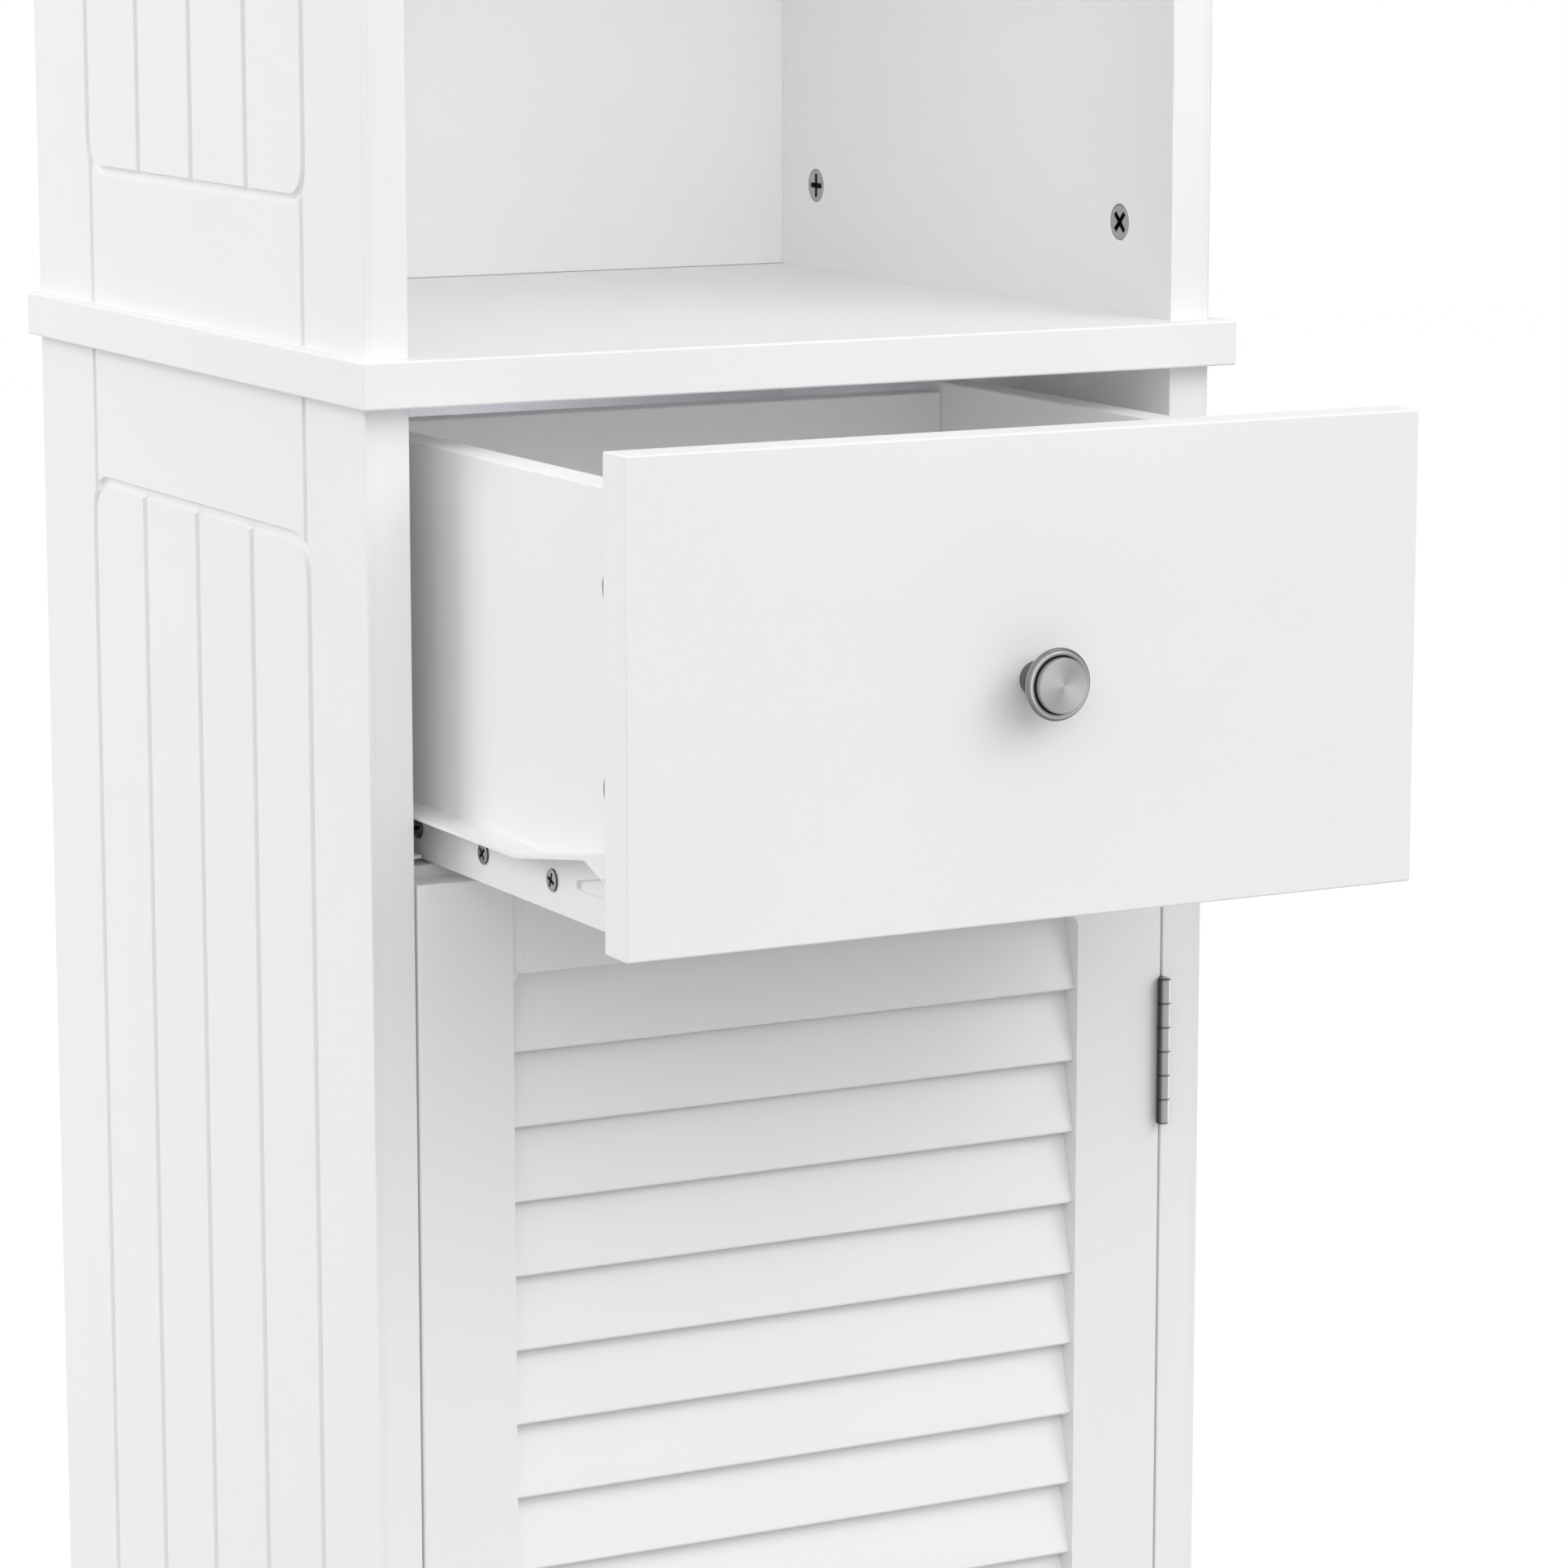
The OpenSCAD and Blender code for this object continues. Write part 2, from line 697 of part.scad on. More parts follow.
module wide_board(under) {
    block([-outer_x - side_overhang, -front_overhang, under],
          [outer_x + side_overhang, side_d, under + board_t]);
}

module mid_board() {
    color(white) difference() {
        wide_board(mid_under);
        cam_cuts(mid_under - cam_reach - 1, mid_h + cam_reach + 1);
        dowel_cuts(mid_h - 1, mid_h + 1);
    }
}

module top_board() {
    color(white) difference() {
        wide_board(top_under);
        cam_cuts(top_under - cam_reach - 1, total_h);
        dowel_cuts(top_under - 1, total_h);
        catch_screw_cuts(top_under);
        bracket_screw_places() small_screw_cut();
    }
}

// ---- Back panels, in the grooves of the side panels
module back_board(low, high) {
    reach = inner_x + back_groove - panel_play;
    block([-reach, back_y, low + seat], [reach, back_y + back_t, high - seat]);
}

module lower_back_panel() {
    color(white) back_board(bottom_under, mid_under);
}

module upper_back_panel() {
    color(white) difference() {
        back_board(mid_h, top_under);
        translate([0, back_y - over, wall_hole_z]) rotate([-90, 0, 0])
            cylinder(d = wall_hole_d + 1, h = back_t + 2 * over);
    }
}

// ---- Adjustable shelves and their pins
module shelf(z) {
    block([shelf_play - inner_x, shelf_front_y, z],
          [inner_x - shelf_play, back_y - shelf_rear_gap, z + board_t]);
}

module lower_shelf() {
    color(white) shelf(lower_shelf_z);
}

module upper_shelf() {
    color(white) shelf(upper_shelf_z);
}

module shelf_pins() {
    color(steel) both() for (z = [lower_shelf_z, upper_shelf_z], y = pin_ys)
        along_x([inner_x - shelf_pin_l, y, z - shelf_pin_d / 2])
            cylinder(d = shelf_pin_d, h = 2 * shelf_pin_l);
}

// ---- Carcass fittings
module carcass_cams() {
    both() for (s = concat(mid_seats, plain_seats)) at(s) cam(board_t);
}

module carcass_cam_bolts() {
    both() for (s = plain_seats) at(s) cam_bolt(board_t, cam_reach, bolt_embed);
}

module mid_cam_bolts() {
    both() for (i = [0, 1]) at(mid_seats[i]) double_bolt();
}

module carcass_dowels() {
    color("burlywood") both() for (s = dowel_seats) dowel(s, 0);
}

// ---- Screws, with the seat of the head at z = 0 and the thread along +Z
module small_screw(head_t) {
    translate([0, 0, -head_t]) cylinder(d = small_head_d, h = head_t);
    cylinder(d = small_screw_d, h = small_screw_l);
}

module small_screw_cut() {
    translate([0, 0, -over])
        cylinder(d = small_screw_d + 2 * pin_play, h = small_screw_l + over + hole_end);
}

module slide_screw() {
    difference() {
        union() {
            translate([0, 0, -slide_head_t]) cylinder(d = slide_head_d, h = slide_head_t);
            cylinder(d = slide_screw_d, h = steel_t + slide_screw_l);
        }
        for (a = [0, 90]) rotate([0, 0, a])
            block([-slide_cross_l / 2, -slide_cross_bar / 2, -slide_head_t - over],
                  [slide_cross_l / 2, slide_cross_bar / 2, slide_cross_depth - slide_head_t]);
    }
}

// ---- Slides: the rail on the carcass, drawn on the right
module rail() {
    z0 = rail_floor - steel_t;
    z1 = rail_roof + steel_t;
    y0 = slide_front;
    y1 = slide_front + slide_l;
    difference() {
        union() {
            block([rail_in, y0, z0], [inner_x, y0 + rail_flange_from, runner_top - steel_t]);
            block([rail_in, y0 + rail_flange_from, z0], [inner_x, y1, z1]);
            block([rail_flange_x, y0, z0], [inner_x, y1, rail_floor]);
            block([rail_flange_x, y0 + rail_flange_from, rail_roof], [inner_x, y1, z1]);
        }
        for (y = rail_screw_y)
            along_x([rail_in - over, y, roller_z])
                cylinder(d = slide_screw_d + 2 * pin_play, h = steel_t + 2 * over);
        along_x([rail_in - over, y0 + front_axle, roller_z])
            cylinder(r = axle_r + pin_play, h = steel_t + 2 * over);
    }
}

module rail_right() {
    color(epoxy) rail();
}

module rail_left() {
    color(epoxy) mirror([1, 0, 0]) rail();
}

module rail_screws() {
    color(steel) both() for (y = rail_screw_y) along_x([rail_in, y, roller_z]) slide_screw();
}

// Places of a carcass roller across the width
rail_roller_out = rail_in - roller_side_gap;
rail_roller_in = runner_out + rail_roller_gap;

module rail_axles() {
    color(steel) both() {
        along_x([rail_roller_in - rivet_gap, slide_front + front_axle, roller_z])
            cylinder(r = axle_r, h = inner_x - rail_roller_in);
        along_x([rail_roller_in - rivet_gap - rivet_head_t, slide_front + front_axle, roller_z])
            cylinder(r = axle_r + rivet_head_more, h = rivet_head_t);
    }
}

module rail_roller() {
    along_x([rail_roller_in, slide_front + front_axle, roller_z]) difference() {
        cylinder(r = roller_r, h = rail_roller_out - rail_roller_in);
        translate([0, 0, -over]) cylinder(r = axle_r + axle_play, h = slide_room);
    }
}

module rail_roller_right() {
    color("whitesmoke") rail_roller();
}

module rail_roller_left() {
    color("whitesmoke") mirror([1, 0, 0]) rail_roller();
}

// ---- Slides: the runner on the drawer, drawn on the right with the drawer closed
// The upper face of its flange, seen from the side, from the rear to the bent front end
function flange_line(z) = [
    [slide_front + slide_l, z],
    [slide_front + ramp_foot, z],
    [slide_front + ramp_top, z + ramp_rise],
    [slide_front + curl_l, z + ramp_rise],
    [slide_front, z + ramp_rise - curl_drop]
];

function reversed(list) = [for (i = [len(list) - 1 : -1 : 0]) list[i]];

// An outline in Y and Z made a plate from x0 to x1
module side_plate(x0, x1, outline) {
    translate([x0, 0, 0]) rotate([90, 0, 90]) linear_extrude(height = x1 - x0) polygon(outline);
}

module runner() {
    low = side_low - steel_t;
    slot_r = slot_h / 2;
    slot_z = runner_screw_z;
    slot_y = slide_front + runner_slot_l - slot_r;
    slot_end = slide_front + slot_rim;
    difference() {
        union() {
            side_plate(drawer_x, runner_out, concat(flange_line(runner_top), [
                [slide_front, low],
                [slide_front + slide_l, low]
            ]));
            side_plate(drawer_x, flange_x,
                concat(flange_line(runner_top), reversed(flange_line(runner_top - steel_t))));
            block([drawer_x - lip_w, slide_front, low], [runner_out, slide_front + slide_l, side_low]);
        }
        // The wedge-shaped slot near the front
        side_plate(drawer_x - over, runner_out + over, [
            [slot_y, slot_z],
            [slot_y, slot_z + slot_h],
            [slide_front + ramp_top, runner_top],
            [slot_end, runner_top - slot_crown],
            [slot_end, slot_z]
        ]);
        along_x([drawer_x - over, slot_y, slot_z + slot_r])
            cylinder(r = slot_r, h = steel_t + 2 * over);
        runner_screw_places()
            cylinder(d = slide_screw_d + 2 * pin_play, h = 2 * (steel_t + over), center = true);
        along_x([drawer_x - over, slide_front + slide_l - rear_axle, roller_z])
            cylinder(r = axle_r + pin_play, h = steel_t + 2 * over);
    }
}

// Places of the runner's screws, whose heads lie on its outer face
module runner_screw_places() {
    for (i = [0 : 2]) {
        y = slide_front + runner_screw_first + i * runner_screw_pitch;
        translate([runner_out, y, runner_screw_z]) rotate([0, -90, 0]) children();
    }
}

module runner_right() {
    color(epoxy) pulled() runner();
}

module runner_left() {
    color(epoxy) pulled() mirror([1, 0, 0]) runner();
}

module runner_screws() {
    color(steel) pulled() both() runner_screw_places() slide_screw();
}

// Places of a drawer roller across the width
runner_roller_in = runner_out + runner_roller_gap;
runner_roller_out = rail_in - slide_head_t - roller_screw_gap;

module runner_axles() {
    color(steel) pulled() both() {
        along_x([drawer_x + rivet_gap, slide_front + slide_l - rear_axle, roller_z])
            cylinder(r = axle_r, h = runner_roller_out - drawer_x);
        along_x([runner_roller_out + rivet_gap, slide_front + slide_l - rear_axle, roller_z])
            cylinder(r = axle_r + rivet_head_more, h = rivet_head_t);
    }
}

module runner_roller() {
    along_x([runner_roller_in, slide_front + slide_l - rear_axle, roller_z]) difference() {
        cylinder(r = roller_r, h = runner_roller_out - runner_roller_in);
        translate([0, 0, -over]) cylinder(r = axle_r + axle_play, h = slide_room);
    }
}

module runner_roller_right() {
    color("whitesmoke") pulled() runner_roller();
}

module runner_roller_left() {
    color("whitesmoke") pulled() mirror([1, 0, 0]) runner_roller();
}

// ---- Drawer boards, drawn closed
module floor_slot() {
    reach = drawer_in_x + drawer_groove;
    block([-reach, board_t - drawer_groove, floor_low - panel_play],
          [reach, drawer_rear + over, floor_top + panel_play]);
}

knob_z = (front_top + front_low) / 2;

module drawer_front() {
    half = inner_x - drawer_gap_side;
    color(white) pulled() difference() {
        block([-half, 0, front_low], [half, board_t, front_top]);
        drawer_cam_cuts();
        floor_slot();
        knob_hole(0, knob_z);
    }
}

module drawer_side() {
    difference() {
        block([drawer_in_x, board_t, side_low], [drawer_x, drawer_rear, side_top]);
        drawer_cam_cuts();
        floor_slot();
        runner_screw_places()
            cylinder(d = slide_screw_d + 2 * pin_play, h = steel_t + slide_screw_l + hole_end);
    }
}

module drawer_side_right() {
    color(white) pulled() drawer_side();
}

module drawer_side_left() {
    color(white) pulled() mirror([1, 0, 0]) drawer_side();
}

module drawer_back() {
    color(white) pulled() difference() {
        block([-drawer_in_x, drawer_back_y, floor_top + panel_play],
              [drawer_in_x, drawer_rear, side_top - drawer_back_drop]);
        drawer_cam_cuts();
    }
}

module drawer_bottom() {
    reach = drawer_in_x + drawer_groove - panel_play;
    color(white) pulled()
        block([-reach, board_t - drawer_groove + panel_play, floor_low],
              [reach, drawer_rear, floor_top]);
}

module drawer_cams() {
    pulled() both() for (s = drawer_seats) at(s) cam(drawer_t);
}

module drawer_cam_bolts() {
    pulled() both() for (s = drawer_seats)
        at(s) cam_bolt(drawer_t, drawer_cam_reach, drawer_bolt_embed);
}

// ---- Knobs, on the front face y = 0 at a place across and up: the profile runs from the foot up
// to the widest ring, and from there over the step, the rim's flat face and the raised disc
module knob(x, z) {
    r = knob_d / 2;
    foot = knob_foot_d / 2;
    disc = knob_disc_d / 2;
    head = knob_l - knob_head_t;
    rim = knob_l - knob_disc_t;
    color(steel) translate([x, 0, z]) rotate([90, 0, 0]) difference() {
        rotate_extrude() polygon([
            [0, 0], [foot, 0], [foot, 1], [foot - 0.7, 2.4], [foot - 1, head - 4.5],
            [foot - 0.4, head - 2.4], [foot + 1.6, head - 0.7], [r - 1.6, head + 0.4],
            [r - 0.4, head + 1.4], [r, rim - 1.7], [r - 0.1, rim - 1.2], [r - 0.55, rim - 0.9],
            [r - 1, rim - 0.85], [r - 0.95, rim - 0.35], [r - 1.3, rim], [disc + 0.4, rim],
            [disc, rim - 0.4], [disc, knob_l - 0.4], [disc - 0.4, knob_l], [0, knob_l]
        ]);
        translate([0, 0, -over])
            cylinder(d = knob_screw_d + 2 * pin_play, h = knob_screw_in + over + knob_hole_end);
    }
}

module knob_hole(x, z) {
    translate([x, -over, z]) rotate([-90, 0, 0])
        cylinder(d = knob_screw_d + knob_hole_play, h = board_t + 2 * over);
}

module knob_screw(x, z) {
    color(steel) translate([x, board_t, z]) rotate([90, 0, 0]) {
        translate([0, 0, -knob_screw_head_t]) cylinder(d = 2 * knob_screw_d, h = knob_screw_head_t);
        cylinder(d = knob_screw_d, h = board_t + knob_screw_in);
    }
}

module drawer_knob() {
    pulled() knob(0, knob_z);
}

module drawer_knob_screw() {
    pulled() knob_screw(0, knob_z);
}

// ---- Doors: span holds the lowest and highest edge
function opening(span) = [span[0] + rail_h, span[1] - rail_h];
function slat_count(span) = floor((opening(span)[1] - slat_first - opening(span)[0]) / slat_pitch) + 1;
function slat_z(span, i) = opening(span)[1] - slat_first - i * slat_pitch;
door_knob_x = door_x0 + stile_w / 2;
function middle(span) = (span[0] + span[1]) / 2;

module slat_outline(play) {
    r = slat_edge_r + play;
    h = slat_l - slat_edge_r;
    t = slat_t - slat_edge_r;
    translate([-play, slat_edge_r]) square([slat_t + 2 * play, slat_l - 2 * slat_edge_r]);
    translate([slat_edge_r, -play]) square([slat_t - 2 * slat_edge_r, slat_l + 2 * play]);
    for (p = [[slat_edge_r, slat_edge_r], [t, slat_edge_r], [slat_edge_r, h], [t, h]])
        translate(p) circle(r = r);
}

// A slat from x0 to x1, with its lower front edge at height z
module slat(x0, x1, z, play) {
    translate([x0, slat_inset, z]) rotate([-slat_tilt, 0, 0]) rotate([90, 0, 90])
        linear_extrude(height = x1 - x0) slat_outline(play);
}

module door_opening(span) {
    o = opening(span);
    r = opening_r;
    w = opening_x1 - opening_x0;
    h = o[1] - o[0];
    translate([0, board_t + over, 0]) rotate([90, 0, 0]) linear_extrude(height = board_t + 2 * over) {
        translate([opening_x0 + r, o[0]]) square([w - 2 * r, h]);
        translate([opening_x0, o[0] + r]) square([w, h - 2 * r]);
        for (x = [opening_x0 + r, opening_x1 - r], z = [o[0] + r, o[1] - r])
            translate([x, z]) circle(r = r);
    }
}

module door_frame(span) {
    o = opening(span);
    color(white) difference() {
        block([door_x0, 0, span[0]], [door_x1, board_t, span[1]]);
        door_opening(span);
        for (x = [opening_x0 + door_cove_r, opening_x1 - door_cove_r]) {
            translate([x, -cove_lift, span[0] - over]) cylinder(r = door_cove_r, h = rail_h + 2 * over);
            translate([x, -cove_lift, o[1] - over]) cylinder(r = door_cove_r, h = rail_h + 2 * over);
        }
        for (i = [0 : slat_count(span) - 1])
            slat(opening_x0 - slat_seat, opening_x1 + slat_seat, slat_z(span, i), slat_play);
        knob_hole(door_knob_x, middle(span));
        door_leaf_cuts(span);
        strike_screw_places(span) small_screw_cut();
    }
}

module door_slats(span) {
    reach = slat_seat - slat_play;
    color(white) for (i = [0 : slat_count(span) - 1])
        slat(opening_x0 - reach, opening_x1 + reach, slat_z(span, i), 0);
}

// ---- Hinges: z is the lower end of a hinge
function hinge_zs(span) = [span[0] + hinge_offset, span[1] - hinge_offset - hinge_l];
knuckle_l = hinge_l / knuckles;

// The knuckles of one leaf, counted from the top: first is 0 for the carcass and 1 for the door
module leaf_knuckles(z, first, leaf_x) {
    for (i = [first : 2 : knuckles - 1]) {
        low = z + hinge_l - (i + 1) * knuckle_l + knuckle_gap / 2;
        difference() {
            union() {
                translate([hinge_x, hinge_y, low]) cylinder(r = knuckle_r, h = knuckle_l - knuckle_gap);
                block([leaf_x, hinge_y + hinge_pin_r, low],
                      [leaf_x + leaf_t, leaf_from + 1, low + knuckle_l - knuckle_gap]);
            }
            translate([hinge_x, hinge_y, low - over])
                cylinder(r = hinge_pin_r + hinge_play, h = knuckle_l + 2 * over);
        }
    }
}

function leaf_screw_zs(z) = [z + hinge_l * leaf_screw_share, z + hinge_l * (1 - leaf_screw_share)];
leaf_screw_y = leaf_d - leaf_screw_in;

module hinge_leaf(z, first, leaf_x) {
    color(steel) union() {
        leaf_knuckles(z, first, leaf_x);
        difference() {
            block([leaf_x, leaf_from, z], [leaf_x + leaf_t, leaf_d, z + hinge_l]);
            for (s = leaf_screw_zs(z))
                along_x([leaf_x - over, leaf_screw_y, s])
                    cylinder(d = small_head_d + 2 * pin_play, h = leaf_t + 2 * over);
        }
    }
}

// The door's leaf lies in its edge and the carcass leaf in the side panel
door_leaf_x = door_x1 - leaf_t - leaf_seat / 2;
frame_leaf_x = inner_x + leaf_seat / 2;

module hinge_frame_leaves() {
    for (span = [lower_door, upper_door], z = hinge_zs(span)) hinge_leaf(z, 0, frame_leaf_x);
}

module door_leaves(span) {
    for (z = hinge_zs(span)) hinge_leaf(z, 1, door_leaf_x);
}

module hinge_pins() {
    color(steel) for (span = [lower_door, upper_door], z = hinge_zs(span)) {
        translate([hinge_x, hinge_y, z - rivet_gap])
            cylinder(r = hinge_pin_r, h = hinge_l + 2 * rivet_gap);
        for (end = [z - rivet_gap - rivet_head_t, z + hinge_l + rivet_gap])
            translate([hinge_x, hinge_y, end])
                cylinder(r = knuckle_r - pin_head_less, h = rivet_head_t);
    }
}

module frame_leaf_cuts(span) {
    for (z = hinge_zs(span)) {
        block([inner_x - over, -over, z - seat],
              [inner_x + leaf_room, leaf_d + seat, z + hinge_l + seat]);
        for (s = leaf_screw_zs(z)) along_x([inner_x + leaf_room, leaf_screw_y, s]) small_screw_cut();
    }
}

module door_leaf_cuts(span) {
    for (z = hinge_zs(span)) {
        block([door_x1 - leaf_room, -over, z - seat],
              [door_x1 + over, leaf_d + seat, z + hinge_l + seat]);
        for (s = leaf_screw_zs(z))
            translate([door_x1 - leaf_room, leaf_screw_y, s]) rotate([0, -90, 0]) small_screw_cut();
    }
}

// ---- Magnetic catches under the board at the top of a door, and their strike plates
catch_x = catch_w / 2 + catch_gap - inner_x;
catch_y = board_t + strike_t + stop_gap;

module catch_screw_places(under) {
    for (dx = [(catch_ear_l - catch_w) / 2, (catch_w - catch_ear_l) / 2])
        translate([catch_x + dx, catch_y + catch_d / 2, under]) children();
}

module catch_screw_cuts(under) {
    catch_screw_places(under) small_screw_cut();
}

module magnet_catch(under) {
    half = catch_w / 2;
    bar = half - catch_ear_l;
    rear = catch_y + catch_d;
    difference() {
        union() {
            block([catch_x - half, catch_y, under - catch_ear_t], [catch_x + half, rear, under]);
            block([catch_x - bar, catch_y, under - catch_h], [catch_x + bar, rear, under]);
        }
        catch_screw_places(under) translate([0, 0, -catch_ear_t - over])
            cylinder(d = small_screw_d + 2 * pin_play, h = catch_ear_t + 2 * over);
    }
}

module magnet_catches() {
    color("gainsboro") for (under = [divider_under, top_under]) magnet_catch(under);
}

function strike_z(span) =
    (span == lower_door ? divider_under : top_under) - catch_h / 2 - strike_drop;

module strike_screw_places(span) {
    translate([catch_x, board_t, strike_z(span)]) rotate([90, 0, 0]) children();
}

module strike_plate(span) {
    z = strike_z(span);
    color(steel) difference() {
        block([catch_x - strike_w / 2, board_t, z - strike_h / 2],
              [catch_x + strike_w / 2, board_t + strike_t, z + strike_h / 2]);
        translate([catch_x, board_t + strike_t + over, z]) rotate([90, 0, 0])
            cylinder(d = small_head_d + 2 * pin_play, h = strike_t + 2 * over);
    }
}

module door_screws(span) {
    color(steel) {
        for (z = hinge_zs(span), s = leaf_screw_zs(z))
            translate([door_x1 - leaf_room, leaf_screw_y, s]) rotate([0, -90, 0]) small_screw(leaf_t);
        strike_screw_places(span) small_screw(strike_head_t);
    }
}

// ---- Wall bracket under the top board, at the back
module bracket_screw_places() {
    for (x = [-bracket_w / 4, bracket_w / 4])
        translate([x, back_y - bracket_leg / 2 - bracket_t, top_under]) children();
}

module wall_bracket() {
    half = bracket_w / 2;
    color(steel) difference() {
        union() {
            block([-half, back_y - bracket_leg, top_under - bracket_t], [half, back_y, top_under]);
            block([-half, back_y - bracket_t, top_under - bracket_leg], [half, back_y, top_under]);
        }
        bracket_screw_places() translate([0, 0, -bracket_t - over])
            cylinder(d = small_screw_d + 2 * pin_play, h = bracket_t + 2 * over);
        translate([0, back_y - bracket_t - over, wall_hole_z]) rotate([-90, 0, 0])
            cylinder(d = wall_hole_d, h = bracket_t + 2 * over);
    }
}

// Small screws of the hinges' carcass leaves, the catches and the wall bracket
module frame_screws() {
    color(steel) {
        for (span = [lower_door, upper_door], z = hinge_zs(span), s = leaf_screw_zs(z))
            along_x([inner_x + leaf_room, leaf_screw_y, s]) small_screw(leaf_t);
        for (under = [divider_under, top_under])
            catch_screw_places(under) translate([0, 0, -catch_ear_t]) small_screw(small_head_t);
        bracket_screw_places() translate([0, 0, -bracket_t]) small_screw(small_head_t);
    }
}

lower_side_left();
lower_side_right();
upper_side_left();
upper_side_right();
plinth();
bottom_board();
divider_board();
mid_board();
compartment_board();
top_board();
lower_back_panel();
upper_back_panel();
lower_shelf();
upper_shelf();
shelf_pins();
carcass_cams();
carcass_cam_bolts();
mid_cam_bolts();
carcass_dowels();
rail_left();
rail_right();
rail_screws();
rail_axles();
hinge_frame_leaves();
hinge_pins();
frame_screws();
magnet_catches();
wall_bracket();
drawer_front();
drawer_side_left();
drawer_side_right();
drawer_back();
drawer_bottom();
runner_left();
runner_right();
runner_screws();
runner_axles();
drawer_cams();
drawer_cam_bolts();
drawer_knob();
drawer_knob_screw();
rail_roller_left();
rail_roller_right();
runner_roller_left();
runner_roller_right();
door_frame(lower_door);  // lower_door_frame
door_slats(lower_door);  // lower_door_slats
knob(door_knob_x, middle(lower_door));  // lower_door_knob
knob_screw(door_knob_x, middle(lower_door));  // lower_door_knob_screw
door_leaves(lower_door);  // lower_door_leaves
door_screws(lower_door);  // lower_door_screws
strike_plate(lower_door);  // lower_strike_plate
door_frame(upper_door);  // upper_door_frame
door_slats(upper_door);  // upper_door_slats
knob(door_knob_x, middle(upper_door));  // upper_door_knob
knob_screw(door_knob_x, middle(upper_door));  // upper_door_knob_screw
door_leaves(upper_door);  // upper_door_leaves
door_screws(upper_door);  // upper_door_screws
strike_plate(upper_door);  // upper_strike_plate
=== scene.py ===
"""Looks of a white bathroom storage tower: louvred doors, a pulled-out drawer, an open compartment.

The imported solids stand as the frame. Boards, hinge leaves and slides are softened copies of their
solids, while knobs, cam locks, screws, rollers, hinge pins and slats are numpy surfaces made here.
Lengths are in millimetres in the part's frame: origin on the floor, X across, Y to the back, Z up.
"""

import logging
import math
from dataclasses import dataclass, field
from enum import Enum
from typing import Any, Iterable, Mapping, Sequence, Union

import bmesh
import bpy
import numpy as np
from mathutils import Matrix, Vector
from numpy.typing import NDArray


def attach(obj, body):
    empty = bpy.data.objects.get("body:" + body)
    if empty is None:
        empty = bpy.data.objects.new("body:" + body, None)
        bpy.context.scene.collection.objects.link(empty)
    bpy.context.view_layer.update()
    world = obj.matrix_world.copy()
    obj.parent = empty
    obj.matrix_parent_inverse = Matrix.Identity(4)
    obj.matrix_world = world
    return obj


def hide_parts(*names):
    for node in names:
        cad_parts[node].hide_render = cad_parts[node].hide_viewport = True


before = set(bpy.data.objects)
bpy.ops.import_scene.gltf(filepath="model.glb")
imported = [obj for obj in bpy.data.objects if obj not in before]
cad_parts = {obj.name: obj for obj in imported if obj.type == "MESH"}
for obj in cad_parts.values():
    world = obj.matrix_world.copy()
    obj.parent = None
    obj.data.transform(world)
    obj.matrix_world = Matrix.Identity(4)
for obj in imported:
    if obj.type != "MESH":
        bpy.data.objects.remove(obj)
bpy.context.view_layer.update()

LOG = logging.getLogger("storage_tower")
MM = 0.001
TO_MM = 1000.0
# The hinges' axis and their lower ends
HINGE_X = 139.1
HINGE_STARTS = (136.6, 563.8, 1148.1, 1575.3)
Array = NDArray[np.float64]
Colour = tuple[float, float, float]
Pairs = tuple[tuple[float, float], ...]
# The black that metal is mixed towards: painted shade in recesses and across hinge knuckles, and
# the dark knuckle joints
SHADE_AND_JOINT_BLACK: Colour = (0.02, 0.02, 0.02)


# ---------------------------------------------------------------- shader maths
class Sock:
    """An output of a shader node that can be used in Python expressions."""

    def __init__(self, graph: "Graph", link: bpy.types.NodeSocket) -> None:
        """Keeps the graph and the socket.

        Args:
            graph: The graph that the socket belongs to.
            link: The output socket.
        """
        self.graph = graph
        self.link = link

    def _do(self, operation: str, first: "Value", second: "Value" = 0.0) -> "Sock":
        """Adds one Math node.

        Args:
            operation: The node's operation.
            first: The first value.
            second: The second value.

        Returns:
            The node's output.
        """
        return self.graph.node("ShaderNodeMath", {"operation": operation}, {0: first, 1: second})

    def __add__(self, other: "Value") -> "Sock":
        """Sum."""
        return self._do("ADD", self, other)

    __radd__ = __add__

    def __sub__(self, other: "Value") -> "Sock":
        """Difference."""
        return self._do("SUBTRACT", self, other)

    def __rsub__(self, other: "Value") -> "Sock":
        """Difference with the socket on the right."""
        return self._do("SUBTRACT", other, self)

    def __mul__(self, other: "Value") -> "Sock":
        """Product."""
        return self._do("MULTIPLY", self, other)

    __rmul__ = __mul__

    def __truediv__(self, other: "Value") -> "Sock":
        """Quotient."""
        return self._do("DIVIDE", self, other)

    def __rtruediv__(self, other: "Value") -> "Sock":
        """Quotient with the socket on the right."""
        return self._do("DIVIDE", other, self)

    def __pow__(self, other: "Value") -> "Sock":
        """Power."""
        return self._do("POWER", self, other)

    def __neg__(self) -> "Sock":
        """Negative value."""
        return self._do("MULTIPLY", self, -1.0)

    def __abs__(self) -> "Sock":
        """Size without sign."""
        return self._do("ABSOLUTE", self)

    def positive(self) -> "Sock":
        """Value, or 0 where it is negative."""
        return self._do("MAXIMUM", self, 0.0)

    def clamped(self) -> "Sock":
        """Value held between 0 and 1."""
        return self._do("MINIMUM", self.positive(), 1.0)


Value = Union[Sock, float, Sequence[float]]


